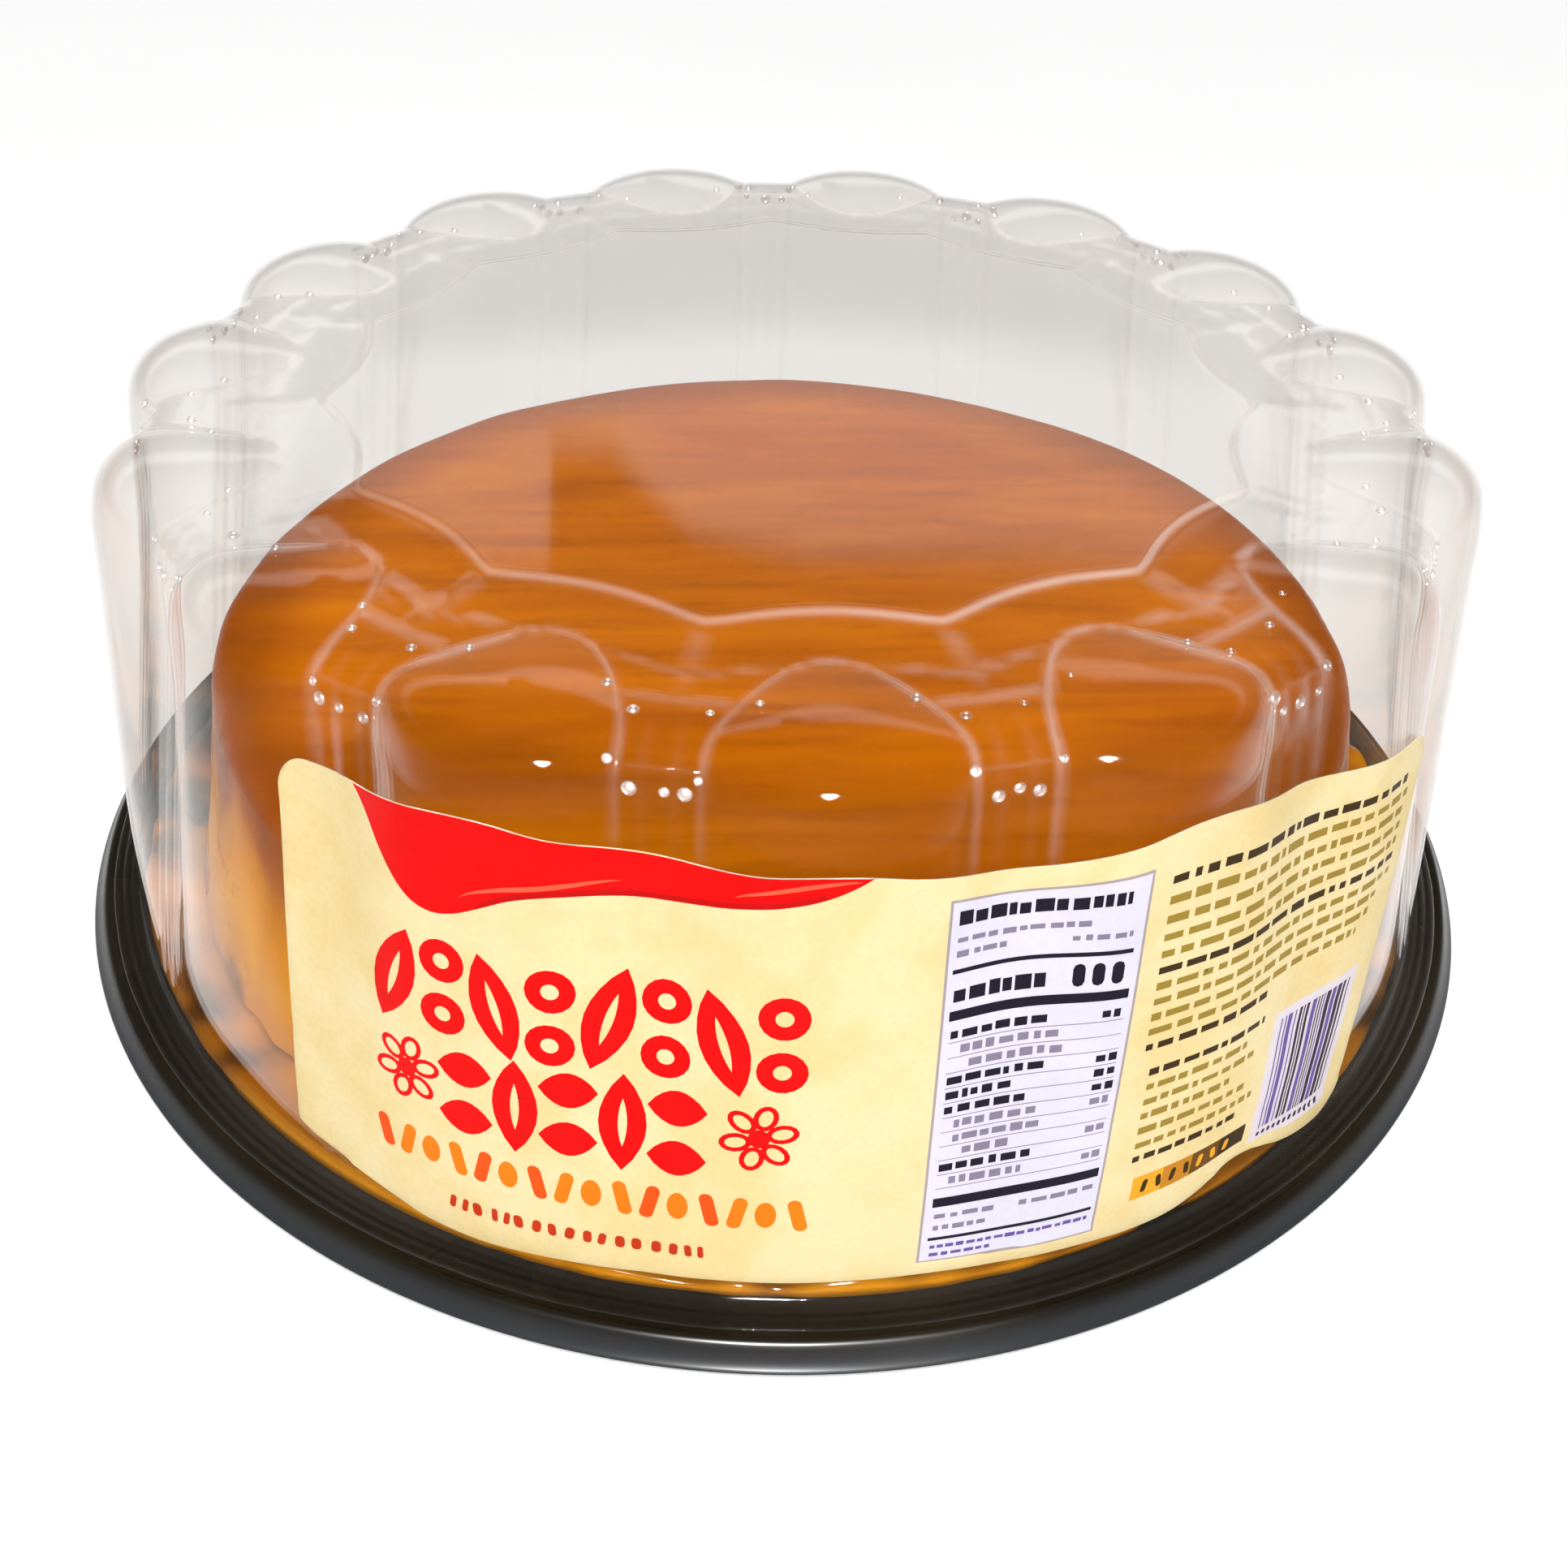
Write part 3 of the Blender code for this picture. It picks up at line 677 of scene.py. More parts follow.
def make_flan(surface):
    columns = 288
    az = np.arange(columns) * 360.0 / columns
    edge = 4.5
    bottom = 1.2
    profile = []
    for r in (3.0, 12.0, 22.0, 32.0, 42.0, 51.0, 60.0, 68.0, 75.0, 81.0, 86.0, 90.0, 93.5, 96.5, 99.0, 100.6):
        profile.append((r, CUSTARD_TOP + 0.12 * math.sin(r * 0.07)))
    for k in range(0, 9):
        a = math.radians(90 - 90 * k / 8)
        profile.append((CUSTARD_TOP_RADIUS - edge + edge * math.cos(a), CUSTARD_TOP - edge + edge * math.sin(a)))
    low = bottom + 1.5
    for k in range(1, 25):
        z = (CUSTARD_TOP - edge) + (low - (CUSTARD_TOP - edge)) * k / 24
        share = k / 24
        # A soft custard leans out a little more towards its foot.
        r = CUSTARD_TOP_RADIUS + (CUSTARD_BOTTOM_RADIUS - CUSTARD_TOP_RADIUS) * (0.8 * share + 0.2 * share ** 3)
        profile.append((r, z))
    for k in range(1, 5):
        a = math.radians(-90 * k / 4)
        profile.append((CUSTARD_BOTTOM_RADIUS - 1.5 + 1.5 * math.cos(a), low + 1.5 * math.sin(a)))
    profile += [(100.0, bottom), (60.0, bottom), (10.0, bottom)]
    profile = np.array(profile)
    rows = []
    for r, z in profile:
        wob = waves(az + z * 0.5, 3, [2, 3, 5, 8], 0.55) + waves(az - z * 0.8, 5, [13, 19, 27, 38], 0.22)
        side = min(1.0, max(0.0, (r - 80) / 24)) * (1.0 if z > bottom + 0.4 else 0.0)
        rr = r - 0.75 * side + wob * side
        x = rr * np.sin(np.radians(az))
        y = -rr * np.cos(np.radians(az))
        lift = 0.0
        if z > CUSTARD_TOP - 5:
            # Low swells and a slight sag before the edge.
            lift = (0.16 * np.sin(x * 0.045 + 0.7) * np.cos(y * 0.06 - 0.4) + 0.09 * np.sin(x * 0.11 + y * 0.07)
                    + 0.05 * np.sin(y * 0.33 + 0.5 * np.sin(x * 0.05)) - 0.16)
            lift = lift + min(1.0, max(0.0, (r - 70) / 30)) * waves(az, 9, [3, 7, 11, 17], 0.30)
            lift = np.minimum(lift, CUSTARD_TOP + 0.18 - z)
        rows.append(place(az, rr, z + lift))
    points = np.vstack(rows)
    n = len(profile)
    faces = ring_faces(n, columns)
    a, b = len(points), len(points) + 1
    points = np.vstack([points, [[0, 0, (CUSTARD_TOP - 0.1) * MM]], [[0, 0, bottom * MM]]])
    faces += [(a, (i + 1) % columns, i) for i in range(columns)]
    faces += [(b, (n - 1) * columns + i, (n - 1) * columns + (i + 1) % columns) for i in range(columns)]
    flan = add_object("custard_body", points, faces, [surface])
    if flan.data.polygons[0].normal.z < 0:
        flan.data.flip_normals()
    return flan


def make_syrup(surface):
    """Thin caramel round the custard's foot, uneven, up to the lid's wall."""
    columns = 480
    az = np.arange(columns) * 360.0 / columns
    amount = 0.45 + waves(az + 10, 21, [2, 3, 5], 0.30) + waves(az, 22, [9, 14, 23], 0.34) + waves(az, 23, [37, 51, 73], 0.16)
    front = np.exp(-((((az + 190) % 360) - 180 + 12) / 42.0) ** 2)
    amount = np.clip(amount + 0.42 * front, 0.0, 1.0)
    out = 122.9 + 0.6 * np.clip(amount * 1.4, 0, 1)
    # (radius, height with no syrup, extra height with the most, share of depth)
    rows_top = [
        (113.4, 2.2, 4.4, 0.9), (114.6, 1.6, 4.8, 1.0), (116.2, 1.35, 4.9, 1.0), (117.4, 1.9, 4.3, 0.9), (118.3, 3.65, 2.5, 0.8),
        (118.9, 4.85, 1.4, 0.75), (119.7, 5.63, 0.8, 0.7), (120.6, 5.76, 1.0, 0.75), (121.3, 5.66, 1.5, 0.8),
        (122.0, 5.1, 2.5, 0.9), (122.7, 4.5, 3.5, 1.0),
    ]
    top, depth = [], []
    for r, z, extra, share in rows_top:
        top.append(place(az, r + 0.0 * az, z + extra * amount))
        depth.append(amount * share)
    top.append(place(az, out, 4.35 + 4.0 * amount))
    depth.append(amount * 1.0)
    top.append(place(az, out, 4.28 + 0.0 * az))
    depth.append(amount * 1.0)
    under = [(122.6, 4.38), (121.9, 5.0), (121.2, 5.62), (120.6, 5.72), (119.8, 5.6), (118.9, 4.75), (118.4, 3.75),
             (118.0, 2.65), (117.0, 1.5), (115.5, 1.02), (113.4, 0.95)]
    for r, z in under:
        top.append(place(az, r + 0.0 * az, z))
        depth.append(amount * 0.3)
    points = np.vstack(top)
    faces = ring_faces(len(top), columns, closed_rows=True)
    ring = add_object("syrup_ring", points, faces, [surface])
    float_attribute(ring, "depth", np.concatenate(depth))
    if ring.data.polygons[columns * 2].normal.z < 0:
        ring.data.flip_normals()
    return ring


# ------------------------------------------------------------------ label print

def disc(x, y, rx, ry=None, turn=0.0, steps=18):
    ry = rx if ry is None else ry
    c, s = math.cos(math.radians(turn)), math.sin(math.radians(turn))
    out = []
    for i in range(steps):
        a = 2 * math.pi * i / steps
        px, py = rx * math.cos(a), ry * math.sin(a)
        out.append((x + px * c - py * s, y + px * s + py * c))
    return out


def bar(x0, y0, x1, y1, slant=0.0, lean=0.0):
    """A box; slant shifts its right end up, lean shifts its top to the right."""
    return [(x0, y0), (x1, y0 + slant), (x1 + lean, y1 + slant), (x0 + lean, y1)]


def pill(x, y, length, width, turn=0.0, steps=6):
    """A rounded bar, standing up before it is turned."""
    c, s = math.cos(math.radians(turn)), math.sin(math.radians(turn))
    r, h = width / 2, length / 2 - width / 2
    pts = []
    for i in range(steps + 1):
        a = math.pi * i / steps
        pts.append((r * math.cos(a), h + r * math.sin(a)))
    for i in range(steps + 1):
        a = math.pi + math.pi * i / steps
        pts.append((r * math.cos(a), -h + r * math.sin(a)))
    return [(x + px * c - py * s, y + px * s + py * c) for px, py in pts]


def leaf(x, y, length, width, turn=0.0, steps=8):
    c, s = math.cos(math.radians(turn)), math.sin(math.radians(turn))
    pts = []
    for i in range(steps + 1):
        k = i / steps
        pts.append((width / 2 * math.sin(math.pi * k) ** 0.8, length * (k - 0.5)))
    for i in range(1, steps):
        k = 1 - i / steps
        pts.append((-width / 2 * math.sin(math.pi * k) ** 0.8, length * (k - 0.5)))
    return [(x + px * c - py * s, y + px * s + py * c) for px, py in pts]


def print_shapes():
    """(outline, ink) in paint order, in mm on the flat label."""
    r = random.Random(4)
    shapes = []
    # Red field in the upper left, with a flowing lower edge.
    low = [(13.6, 72.6), (15.4, 70.8), (17.4, 67.8), (19.6, 64.4), (22.0, 61.4), (24.6, 59.4), (27.6, 58.7),
           (31.0, 59.4), (35.0, 61.2), (39.0, 63.1), (43.0, 64.4), (48.0, 65.2), (54.0, 65.7), (60.5, 66.0),
           (66.0, 66.6), (71.5, 67.4), (75.5, 67.9), (79.0, 68.5), (82.0, 69.4), (84.6, 70.6), (86.6, 71.8), (87.6, 72.6)]
    low = smooth_line(low, 4)
    shapes.append((low + [(88.0, 73.5), (13.2, 73.5)], "red"))
    # Painted highlights: pale glints on the red that follow its lower edge.
    for x0, x1, y0, rise, fat in ((31.5, 54.0, 61.8, 6.0, 0.62), (69.0, 85.5, 68.6, 2.9, 0.6)):
        ks = np.linspace(0, 1, 14)
        over = [(x0 + (x1 - x0) * k, y0 + rise * k ** 0.75 + fat * math.sin(math.pi * k) ** 0.6) for k in ks]
        back = [(x0 + (x1 - x0) * k, y0 + rise * k ** 0.75 - 0.1 * fat * math.sin(math.pi * k)) for k in ks[::-1]]
        shapes.append((over + back[1:-1], "red_painted_glint"))
    below = [(x, y + 0.05) for x, y in low if 33 < x < 82]
    above = [(x, y + 0.75) for x, y in below[::-1]]
    shapes.append((below + above[1:-1], "red_dark"))

    # Upper band of ornament: leaves and drops in alternate leans.
    for i in range(8):
        x = 21.0 + i * 7.9
        y = 46.2 + 0.5 * math.sin(i * 1.9)
        if i % 2 == 0:
            shapes.append((leaf(x, y, 17.5, 6.9, -16 if i % 4 == 0 else 16), "red"))
            shapes.append((leaf(x, y, 9.0, 1.3, -16 if i % 4 == 0 else 16), "cream"))
        else:
            shapes.append((disc(x, y + 4.6, 3.5), "red"))
            shapes.append((disc(x, y + 4.6, 1.25), "cream"))
            shapes.append((disc(x, y - 4.4, 3.5), "red"))
            shapes.append((disc(x, y - 4.4, 1.25), "cream"))
    # Lower band, shorter, between two rosettes.
    for i in range(5):
        x = 32.0 + i * 7.6
        y = 29.3 - 0.4 * math.cos(i * 1.4)
        if i % 2 == 1:
            shapes.append((leaf(x, y, 17.0, 6.8, 0), "red"))
            shapes.append((leaf(x, y, 8.6, 1.3, 0), "cream"))
        else:
            shapes.append((leaf(x, y + 4.4, 8.4, 6.2, 90), "red"))
            shapes.append((leaf(x, y - 4.4, 8.4, 6.2, 90), "red"))
    for x, y in ((22.6, 30.0), (73.6, 30.2)):
        for k in range(6):
            a = math.radians(60 * k + 15)
            shapes.append((disc(x + 3.3 * math.cos(a), y + 3.9 * math.sin(a), 2.3, 1.7, 60 * k + 15, 14), "red"))
            shapes.append((disc(x + 3.3 * math.cos(a), y + 3.9 * math.sin(a), 1.5, 0.95, 60 * k + 15, 12), "cream"))
        shapes.append((disc(x, y, 1.5, 1.7), "red"))
    # Orange band of small rounded marks.
    x = 18.4
    i = 0
    while x < 81.0:
        if i % 3 == 2:
            shapes.append((disc(x, 15.8, 1.5, 2.6, 0, 14), "orange"))
            x += 4.4
        else:
            shapes.append((pill(x, 15.8, 6.4, 2.0, 12 if i % 3 == 0 else -12), "orange" if i % 2 else "orange_red"))
            x += 3.9
        i += 1
    # Row of tiny marks.
    x = 29.5
    while x < 66.5:
        w = r.uniform(0.8, 1.5)
        shapes.append((pill(x, 6.6, 2.7, w, r.uniform(-10, 10), 4), "red_brown"))
        x += w + r.uniform(0.7, 1.5)

    # Chart panel: pale, ruled, with bars and short rows of dashes.
    shapes.append((bar(96.6, 3.2, 124.6, 68.6, 0.0, 0.6), "panel_line"))
    shapes.append((bar(97.0, 3.6, 124.2, 68.2, 0.0, 0.6), "panel"))

    def row(q, x0, x1, height, ink, low_w=0.8, high_w=2.6, gap=(0.35, 0.8), fill=1.0):
        x = x0
        while x < x1 - 0.5:
            w = min(r.uniform(low_w, high_w), x1 - x)
            if r.random() < fill:
                shapes.append((bar(x, q + r.uniform(-0.1, 0.1), x + w, q + height * r.uniform(0.8, 1.0)), ink))
            x += w + r.uniform(*gap)

    row(64.6, 98.6, 122.4, 2.2, "ink", 1.0, 2.8, (0.3, 0.7))
    row(61.8, 98.6, 118.0, 1.0, "ink_grey", 0.8, 2.2)
    row(59.6, 98.6, 107.0, 1.0, "ink_grey", 0.8, 2.2)
    row(59.6, 115.0, 123.2, 1.0, "ink_grey", 0.8, 1.8)
    shapes.append((bar(98.2, 57.0, 123.6, 57.7), "ink"))
    row(52.4, 98.6, 112.0, 2.4, "ink", 1.2, 2.6, (0.3, 0.6))
    for k in range(3):
        shapes.append((pill(116.4 + 2.7 * k, 54.0, 3.8, 1.7, 0, 4), "ink"))
    shapes.append((bar(98.2, 49.4, 123.8, 51.0), "ink"))
    q = 46.4
    for k in range(11):
        indent = (0.0, 1.6, 3.0, 0.0, 0.0, 0.0, 1.6, 1.6, 3.2, 0.0, 1.6)[k]
        row(q, 98.6 + indent, 98.6 + indent + r.uniform(7.5, 15.0), 1.45, "ink" if indent == 0 else "ink_grey", 0.8, 2.4)
        if k not in (1, 2, 7, 9):
            row(q, 120.4, 123.6, 1.4, "ink" if indent == 0 else "ink_grey", 0.9, 1.6, (0.3, 0.5))
        shapes.append((bar(98.4, q - 0.75, 123.6, q - 0.6), "ink_grey"))
        q -= 2.62
    shapes.append((bar(98.2, 15.9, 123.8, 17.7), "ink"))
    row(13.4, 98.6, 108.0, 1.1, "ink_grey")
    row(13.4, 111.5, 123.2, 1.1, "ink_grey")
    row(10.9, 98.6, 106.5, 1.1, "ink_grey")
    shapes.append((bar(98.0, 8.6, 123.6, 9.3), "ink"))
    for k in range(2):
        row(6.6 - 2.0 * k, 98.4, 123.2 if k == 0 else 108.0, 0.9, "ink_violet", 0.6, 1.6, (0.25, 0.5))

    # Long block of fine rows.
    q = 65.6
    k = 0
    while q > 37.5:
        dark = k in (0, 5, 10)
        row(q, 128.2, 178.5 - (18.0 if k == 10 else 0.0) - 2.2 * max(0, k - 6), 1.35, "ink_brown" if dark else "ink_olive", 1.0, 4.2, (0.55, 1.1))
        q -= 2.72
        k += 1
    # Second, shorter block.
    q = 33.4
    for k in range(7):
        row(q, 129.6, (152.5, 149.0, 152.0, 146.5, 151.5, 153.0, 150.0)[k], 1.3, "ink_brown" if k in (0, 6) else "ink_olive", 1.0, 3.4, (0.5, 0.9))
        q -= 2.85
    # Strip that goes from orange to near black.
    for k in range(8):
        shapes.append((bar(130.6 + k * 2.9, 7.6, 130.6 + (k + 1) * 2.9 + 0.02, 12.6), ("orange_strip", "orange_strip", "strip_2", "strip_2", "strip_3", "strip_3", "ink_brown", "ink_brown")[k]))
    for k in range(7):
        shapes.append((pill(133.0 + k * 2.75, 10.1, 2.8, 1.0, 8 if k % 2 else -8, 4), "ink_brown" if k < 4 else "orange_strip"))
    # Pale patch with upright bars.
    shapes.append((bar(155.6, 4.6, 176.6, 33.2), "patch"))
    x = 157.6
    while x < 174.6:
        w = r.choice((0.35, 0.35, 0.7, 1.05))
        shapes.append((bar(x, 8.4, x + w, 31.4), "ink_violet" if r.random() < 0.4 else "ink_purple"))
        x += w + r.choice((0.35, 0.35, 0.7))
    x = 158.0
    while x < 174.0:
        shapes.append((pill(x, 6.5, 1.6, 0.8, 0, 3), "ink_purple"))
        x += 1.45

    # The whole print leans a little more to the right, as wrapped on the wall.
    def leaned(x, y):
        k = 0.084 * min(1.0, max(0.0, (x - 18) / 78)) * min(1.0, max(0.0, (182 - x) / 56))
        return x + (38 - y) * k, y
    return [([leaned(x, y) for x, y in pts], ink) for pts, ink in shapes]


def smooth_line(points, steps):
    """A smooth curve through the points, with so many steps between two."""
    pts = np.array([points[0]] + list(points) + [points[-1]], float)
    out = []
    for i in range(1, len(pts) - 2):
        a, b, c, d = pts[i - 1], pts[i], pts[i + 1], pts[i + 2]
        for j in range(steps):
            t = j / steps
            out.append(tuple(0.5 * (2 * b + (c - a) * t + (2 * a - 5 * b + 4 * c - d) * t * t
                                    + (3 * b - a - 3 * c + d) * t ** 3)))
    out.append(tuple(pts[-2]))
    return [(float(x), float(y)) for x, y in out]


def dense(outline, longest=1.6):
    """The outline with long edges cut into short steps, so that they bend."""
    out = []
    for a, b in zip(outline, list(outline[1:]) + [outline[0]]):
        steps = max(1, math.ceil(math.dist(a, b) / longest))
        out += [(a[0] + (b[0] - a[0]) * i / steps, a[1] + (b[1] - a[1]) * i / steps) for i in range(steps)]
    return out


def inside(points, outline):
    """Which of the points lie in the outline."""
    x, y = points[:, 0], points[:, 1]
    hit = np.zeros(len(points), bool)
    n = len(outline)
    for i in range(n):
        (x0, y0), (x1, y1) = outline[i], outline[(i + 1) % n]
        if y0 == y1:
            continue
        cross = (y0 > y) != (y1 > y)
        hit ^= cross & (x < (x1 - x0) * (y - y0) / (y1 - y0) + x0)
    return hit


def label_outline():
    c = LABEL_CORNER
    pts = []
    for cx, cy, start in ((LABEL_WIDTH - c, LABEL_HEIGHT - c, 0), (c, LABEL_HEIGHT - c, 90),
                          (c, c, 180), (LABEL_WIDTH - c, c, 270)):
        for k in range(9):
            a = math.radians(start + 90 * k / 8)
            corner = (cx + c * math.cos(a), cy + c * math.sin(a))
            if k == 0 and pts:
                # The straight run up to this corner, in short steps.
                last = pts[-1]
                steps = max(1, round(math.dist(last, corner) / 1.4))
                pts += [(last[0] + (corner[0] - last[0]) * i / steps, last[1] + (corner[1] - last[1]) * i / steps)
                        for i in range(1, steps)]
            pts.append(corner)
    last, first = pts[-1], pts[0]
    steps = max(1, round(math.dist(last, first) / 1.4))
    pts += [(last[0] + (first[0] - last[0]) * i / steps, last[1] + (first[1] - last[1]) * i / steps)
            for i in range(1, steps)]
    return pts


def clip_low(outline, value, axis, keep_less):
    """The part of an outline on one side of a line along an axis."""
    out = []
    n = len(outline)
    for i in range(n):
        a, b = outline[i], outline[(i + 1) % n]
        ina = (a[axis] <= value) == keep_less or a[axis] == value
        inb = (b[axis] <= value) == keep_less or b[axis] == value
        if ina:
            out.append(a)
        if ina != inb:
            k = (value - a[axis]) / (b[axis] - a[axis])
            out.append((a[0] + (b[0] - a[0]) * k, a[1] + (b[1] - a[1]) * k))
    return out


def wall_at_height(z):
    """t on the wall whose pilaster height is z, for an array of heights."""
    heights = np.array([p[1] for p in PILASTER_SECTION])[::-1]
    places = np.linspace(0, 1, len(heights))[::-1]
    return np.interp(z, heights, places)


def label_radius(az, z):
    """Inner face of the label: held on the lobes' crests, slack in the valleys."""
    # Over the lobes' shoulders the stiff paper stays straight.
    zz = np.clip(z, 12.5, 79.0)
    t = wall_at_height(zz)
    v, l = pilaster_at(t)[:, 0], lobe_at(t)[:, 0]
    v = np.where(z < 12.5, FOOT_RADIUS, v)
    l = np.where(z < 12.5, FOOT_RADIUS, l)
    crest = np.maximum(l, v) + LABEL_GAP
    offset = np.abs((az + PITCH / 2) % PITCH - PITCH / 2) / (PITCH / 2)
    valley = 0.5 - 0.5 * np.cos(np.pi * np.clip((offset - 0.30) / 0.70, 0, 1))
    dip = np.maximum(l - v, 0) * 0.44 * valley
    # Paper that sits over a hollow buckles a little at its lower edge.
    crest = crest + 0.15 * np.clip((z - 60.0) / 20.0, 0, 1) - 0.05 * np.maximum(0, z - 79.0)
    buckle = 0.22 * np.exp(-((z - 10.0) / 9.0) ** 2) * np.exp(-(((offset - 1.0)) / 0.16) ** 2)
    return crest - dip - buckle * np.where(z > 9.0, 1, 0.6) * 0.8


def make_label(inks):
    outline = label_outline()
    shapes = []
    for pts, ink in print_shapes():
        for value, axis, less in ((LABEL_HEIGHT - 0.02, 1, True), (0.02, 1, False), (0.02, 0, False), (LABEL_WIDTH - 0.02, 0, True)):
            pts = clip_low(pts, value, axis, less)
        if len(pts) > 2:
            shapes.append((dense(pts), ink))
    points, edges = [], []

    def add_loop(loop):
        start = len(points)
        points.extend(loop)
        for i in range(len(loop)):
            edges.append((start + i, start + (i + 1) % len(loop)))

    add_loop(outline)
    for pts, _ in shapes:
        add_loop(pts)
    grid = []
    for i in range(1, 122):
        for j in range(1, 30):
            grid.append((LABEL_WIDTH * i / 122, LABEL_HEIGHT * j / 30))
    grid = np.array(grid)
    keep = inside(grid, outline)
    points.extend([tuple(p) for p in grid[keep]])
    result = delaunay_2d_cdt([Vector(p) for p in points], edges, [list(range(len(outline)))], 1, 0.004)
    flat = np.array([tuple(v) for v in result[0]])
    faces = [list(f) for f in result[2]]
    centres = np.array([flat[f].mean(0) for f in faces])
    names = list(inks)
    which = np.full(len(faces), names.index("cream"))
    for pts, ink in shapes:
        box = np.array(pts)
        near = np.where((centres[:, 0] >= box[:, 0].min()) & (centres[:, 0] <= box[:, 0].max())
                        & (centres[:, 1] >= box[:, 1].min()) & (centres[:, 1] <= box[:, 1].max()))[0]
        if len(near):
            hit = inside(centres[near], pts)
            which[near[hit]] = names.index(ink)
    u, v = flat[:, 0] / LABEL_WIDTH, flat[:, 1] / LABEL_HEIGHT
    right = LABEL_RIGHT_LOW + (LABEL_RIGHT_HIGH - LABEL_RIGHT_LOW) * v
    az = LABEL_LEFT + (right - LABEL_LEFT) * u
    away = (az - LABEL_LEVEL) ** 2
    low = LABEL_BOTTOM - LABEL_BOTTOM_DROP * away
    high = LABEL_TOP - LABEL_TOP_DROP * away
    z = low + (high - low) * v
    for table, level, share in ((LABEL_LOW_EDGE, low, 1 - v / 0.25), (LABEL_HIGH_EDGE, high, (v - 0.75) / 0.25)):
        line = np.array(smooth_line(table, 5))
        z = z + (np.interp(az, line[:, 0], line[:, 1]) - level) * np.maximum(0, share) ** 2
    r = label_radius(az, z)
    label = add_object("paper_label", place(az, r, z), faces, [inks[k] for k in names])
    label.data.polygons.foreach_set("material_index", which.astype(np.int32))
    if label.data.polygons[0].normal.y > 0:
        label.data.flip_normals()
    sheet = label.modifiers.new("Sheet", "SOLIDIFY")
    sheet.thickness = 0.25 * MM
    sheet.offset = 1.0
    sheet.use_rim = True
    sheet.material_offset = len(names)
    sheet.material_offset_rim = len(names)
    # The cut edge and the finest slivers don't bend the face's shading.
    even = label.modifiers.new("Even", "WEIGHTED_NORMAL")
    even.mode = "FACE_AREA"
    even.weight = 100
    return label


def label_inks():
    def ink(name, r, g, b, spread=0.04, rough=0.42):
        return paper("ink_" + name, linear(r, g, b), spread, rough)
    cream = paper("label_cream", linear(209, 193, 150), 0.05, 0.44, linear(204, 183, 130))
    return {
        "cream": cream,
        "red": ink("red", 208, 1, 0, 0.05, 0.38),
        # The pale glint ink is a painted highlight on the red field.
        "red_painted_glint": ink("red_painted_glint", 250, 84, 58, 0.10),
        "red_dark": ink("red_dark", 176, 2, 2, 0.05),
        "orange": ink("orange", 226, 112, 12),
        "orange_red": ink("orange_red", 226, 74, 12),
        "red_brown": ink("red_brown", 176, 48, 12),
        "panel": ink("panel", 196, 192, 206, 0.03),
        "panel_line": ink("panel_line", 150, 138, 140),
        "ink": ink("black", 24, 18, 34),
        "ink_grey": ink("grey", 120, 112, 132),
        "ink_violet": ink("violet", 92, 74, 140),
        "ink_purple": ink("purple", 44, 24, 52),
        "ink_olive": ink("olive", 140, 116, 44),
        "ink_brown": ink("brown", 52, 36, 10),
        "orange_strip": ink("orange_strip", 214, 150, 34),
        "strip_2": ink("strip_2", 178, 116, 24),
        "strip_3": ink("strip_3", 96, 62, 16),
        "patch": ink("patch", 200, 191, 198, 0.03),
        "back": paper("label_back", linear(232, 222, 196), 0.05, 0.6),
    }


# ------------------------------------------------------------------ camera, stage

def make_camera():
    """Seen from above the front edge, at about 38 degrees down."""
    down, pan, tilt, roll, turn = 0.66877, 0.00286, 0.01219, 0.03397, 0.07107
    eye = Vector((0.0, -278.220, 219.865))
    ahead = Vector((0, math.cos(down), -math.sin(down)))
    right = Vector((1, 0, 0))
    up = right.cross(ahead)
    f1 = math.cos(pan) * ahead + math.sin(pan) * right
    r1 = math.cos(pan) * right - math.sin(pan) * ahead
    f2 = math.cos(tilt) * f1 + math.sin(tilt) * up
    u2 = math.cos(tilt) * up - math.sin(tilt) * f1
    r3 = math.cos(roll) * r1 + math.sin(roll) * u2
    u3 = -math.sin(roll) * r1 + math.cos(roll) * u2
    spin = Matrix.Rotation(-turn, 3, "Z")
    eye, f2, r3, u3 = spin @ eye, spin @ f2, spin @ r3, spin @ u3
    data = bpy.data.cameras.new("Camera")
    data.sensor_fit = "HORIZONTAL"
    data.sensor_width = 36.0
    data.lens = 39.285
    data.clip_start = 0.01
    camera = bpy.data.objects.new("Camera", data)
    bpy.context.scene.collection.objects.link(camera)
    m = Matrix.Identity(4)
    for i in range(3):
        m[i][0], m[i][1], m[i][2], m[i][3] = r3[i], u3[i], -f2[i], eye[i] * MM
    camera.matrix_world = m
    bpy.context.scene.camera = camera
    return camera


def area_light(name, spot, target, size, power, colour=(1, 1, 1)):
    data = bpy.data.lights.new(name, "AREA")
    data.shape = "DISK"
    data.size = size
    data.energy = power
    data.color = colour
    light = bpy.data.objects.new(name, data)
    bpy.context.scene.collection.objects.link(light)
    light.location = spot
    light.rotation_euler = (Vector(target) - Vector(spot)).to_track_quat("-Z", "Y").to_euler()
    return light


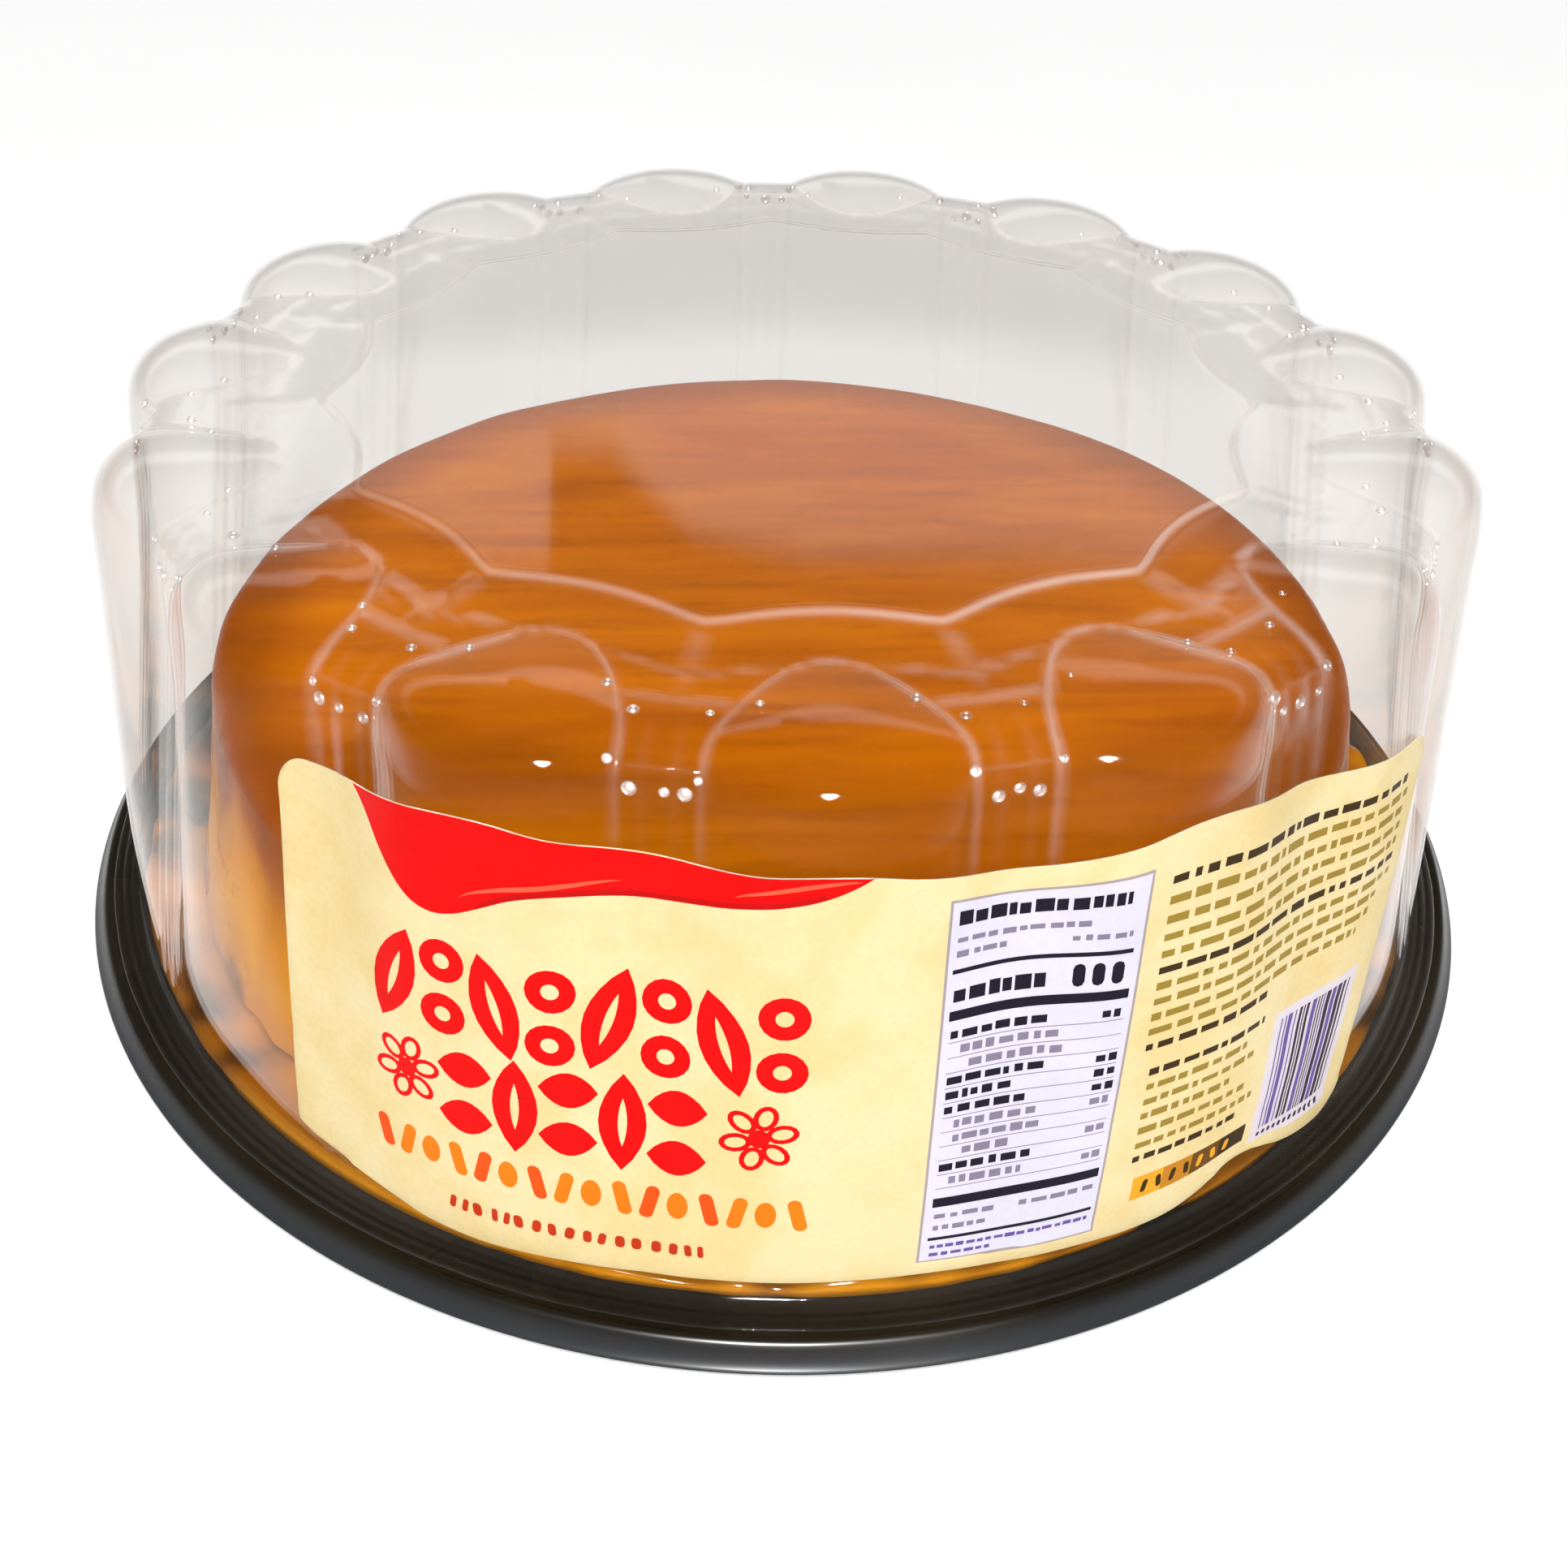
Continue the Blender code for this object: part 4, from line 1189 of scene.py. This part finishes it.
def make_stage():
    n = Nodes("pale_floor")
    cloud = n.noise(2.5, 3.0, 0.5)
    n.set(Base_Color=n.mix(n.span(cloud, 0.3, 0.7), (0.95, 0.95, 0.95, 1), (0.93, 0.93, 0.93, 1)))
    n.shader.inputs["Roughness"].default_value = 0.75
    n.shader.inputs["Specular IOR Level"].default_value = 0.1
    size = 12.0
    floor = add_object("floor", [(-size, -size, 0), (size, -size, 0), (size, size, 0), (-size, size, 0)],
                       [(0, 1, 2, 3)], [n.material], smooth=False)

    # A pale room low all round and a dimmer one overhead.
    world = bpy.data.worlds.new("studio")
    bpy.context.scene.world = world
    world.use_nodes = True
    tree = world.node_tree
    back = tree.nodes["Background"]
    where = tree.nodes.new("ShaderNodeTexCoord")
    parts = tree.nodes.new("ShaderNodeSeparateXYZ")
    tree.links.new(where.outputs["Generated"], parts.inputs[0])
    ramp = tree.nodes.new("ShaderNodeValToRGB")
    tree.links.new(parts.outputs["Z"], ramp.inputs[0])
    stops = [(0.0, 0.90), (0.08, 0.78), (0.14, 0.20), (0.380, 0.20), (0.405, 0.92), (1.0, 0.92)]
    elements = ramp.color_ramp.elements
    while len(elements) < len(stops):
        elements.new(0.5)
    for element, (position, value) in zip(elements, stops):
        element.position = position
        element.color = (value, value, value * 0.985, 1)
    # The pale wall behind ends at a height that changes with the direction,
    # with a dark gap cut into it; over it the room is dim.
    turned = tree.nodes.new("ShaderNodeMath")
    turned.operation = "ARCTAN2"
    tree.links.new(parts.outputs["X"], turned.inputs[0])
    tree.links.new(parts.outputs["Y"], turned.inputs[1])
    along = tree.nodes.new("ShaderNodeMapRange")
    tree.links.new(turned.outputs[0], along.inputs["Value"])
    along.inputs["From Min"].default_value = math.radians(-20)
    along.inputs["From Max"].default_value = math.radians(20)
    height = tree.nodes.new("ShaderNodeValToRGB")
    tree.links.new(along.outputs[0], height.inputs[0])
    tops = [(-20, 0.497), (-5.0, 0.497), (-4.5, 0.440), (-2.3, 0.441), (0.4, 0.481), (5.0, 0.495), (13.0, 0.487), (20, 0.487)]
    elements = height.color_ramp.elements
    while len(elements) < len(tops):
        elements.new(0.5)
    for element, (degrees, value) in zip(elements, tops):
        element.position = (degrees + 20) / 40
        element.color = (value, value, value, 1)
    over = tree.nodes.new("ShaderNodeMath")
    over.operation = "SUBTRACT"
    tree.links.new(parts.outputs["Z"], over.inputs[0])
    tree.links.new(height.outputs[0], over.inputs[1])
    dim = tree.nodes.new("ShaderNodeMapRange")
    tree.links.new(over.outputs[0], dim.inputs["Value"])
    dim.inputs["From Min"].default_value = -0.006
    dim.inputs["From Max"].default_value = 0.014
    high = tree.nodes.new("ShaderNodeMapRange")
    tree.links.new(parts.outputs["Z"], high.inputs["Value"])
    high.inputs["From Min"].default_value = 0.5
    high.inputs["From Max"].default_value = 1.0
    high.inputs["To Min"].default_value = 0.07
    high.inputs["To Max"].default_value = 0.34
    room = tree.nodes.new("ShaderNodeMix")
    room.data_type = "RGBA"
    tree.links.new(dim.outputs[0], room.inputs[0])
    tree.links.new(ramp.outputs[0], room.inputs[6])
    tree.links.new(high.outputs[0], room.inputs[7])
    # Seen directly, the room is an even pale grey-white all over.
    seen = tree.nodes.new("ShaderNodeLightPath")
    even = tree.nodes.new("ShaderNodeMix")
    even.data_type = "RGBA"
    tree.links.new(seen.outputs["Is Camera Ray"], even.inputs[0])
    tree.links.new(room.outputs[2], even.inputs[6])
    even.inputs[7].default_value = (0.94, 0.94, 0.935, 1)
    tree.links.new(even.outputs[2], back.inputs["Color"])
    back.inputs["Strength"].default_value = 1.0

    eye = bpy.context.scene.camera.matrix_world.translation
    aim = Vector((0, 0, 0.06))
    toward = (eye - aim).normalized()
    area_light("key", aim + toward * 1.3 + Vector((0.02, 0, -0.09)), aim, 0.10, 10.0, (1.0, 0.99, 0.97))
    spark = area_light("spark", aim + toward * 1.3 + Vector((0.02, 0, 0.08)), aim, 0.20, 130.0, (1.0, 0.99, 0.97))
    spark.visible_diffuse = False
    spark.visible_transmission = False
    sun = bpy.data.lights.new("sky_panel", "SUN")
    sun.energy = 2.15
    sun.angle = math.radians(75)
    panel = bpy.data.objects.new("sky_panel", sun)
    bpy.context.scene.collection.objects.link(panel)
    panel.rotation_euler = (math.radians(12), math.radians(6), 0)
    panel.visible_glossy = False


def main():
    make_camera()
    make_stage()
    bpy.context.scene.view_settings.view_transform = "Standard"

    tray = make_tray(black_tray())
    flan = make_flan(custard())
    ring = make_syrup(syrup())
    lid = make_lid(clear_plastic())
    label = make_label(label_inks())
    for piece, node in ((tray, "base_tray"), (flan, "flan"), (lid, "dome_lid"), (label, "label")):
        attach(piece, "root")
        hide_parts(node)
    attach(ring, "root")


main()
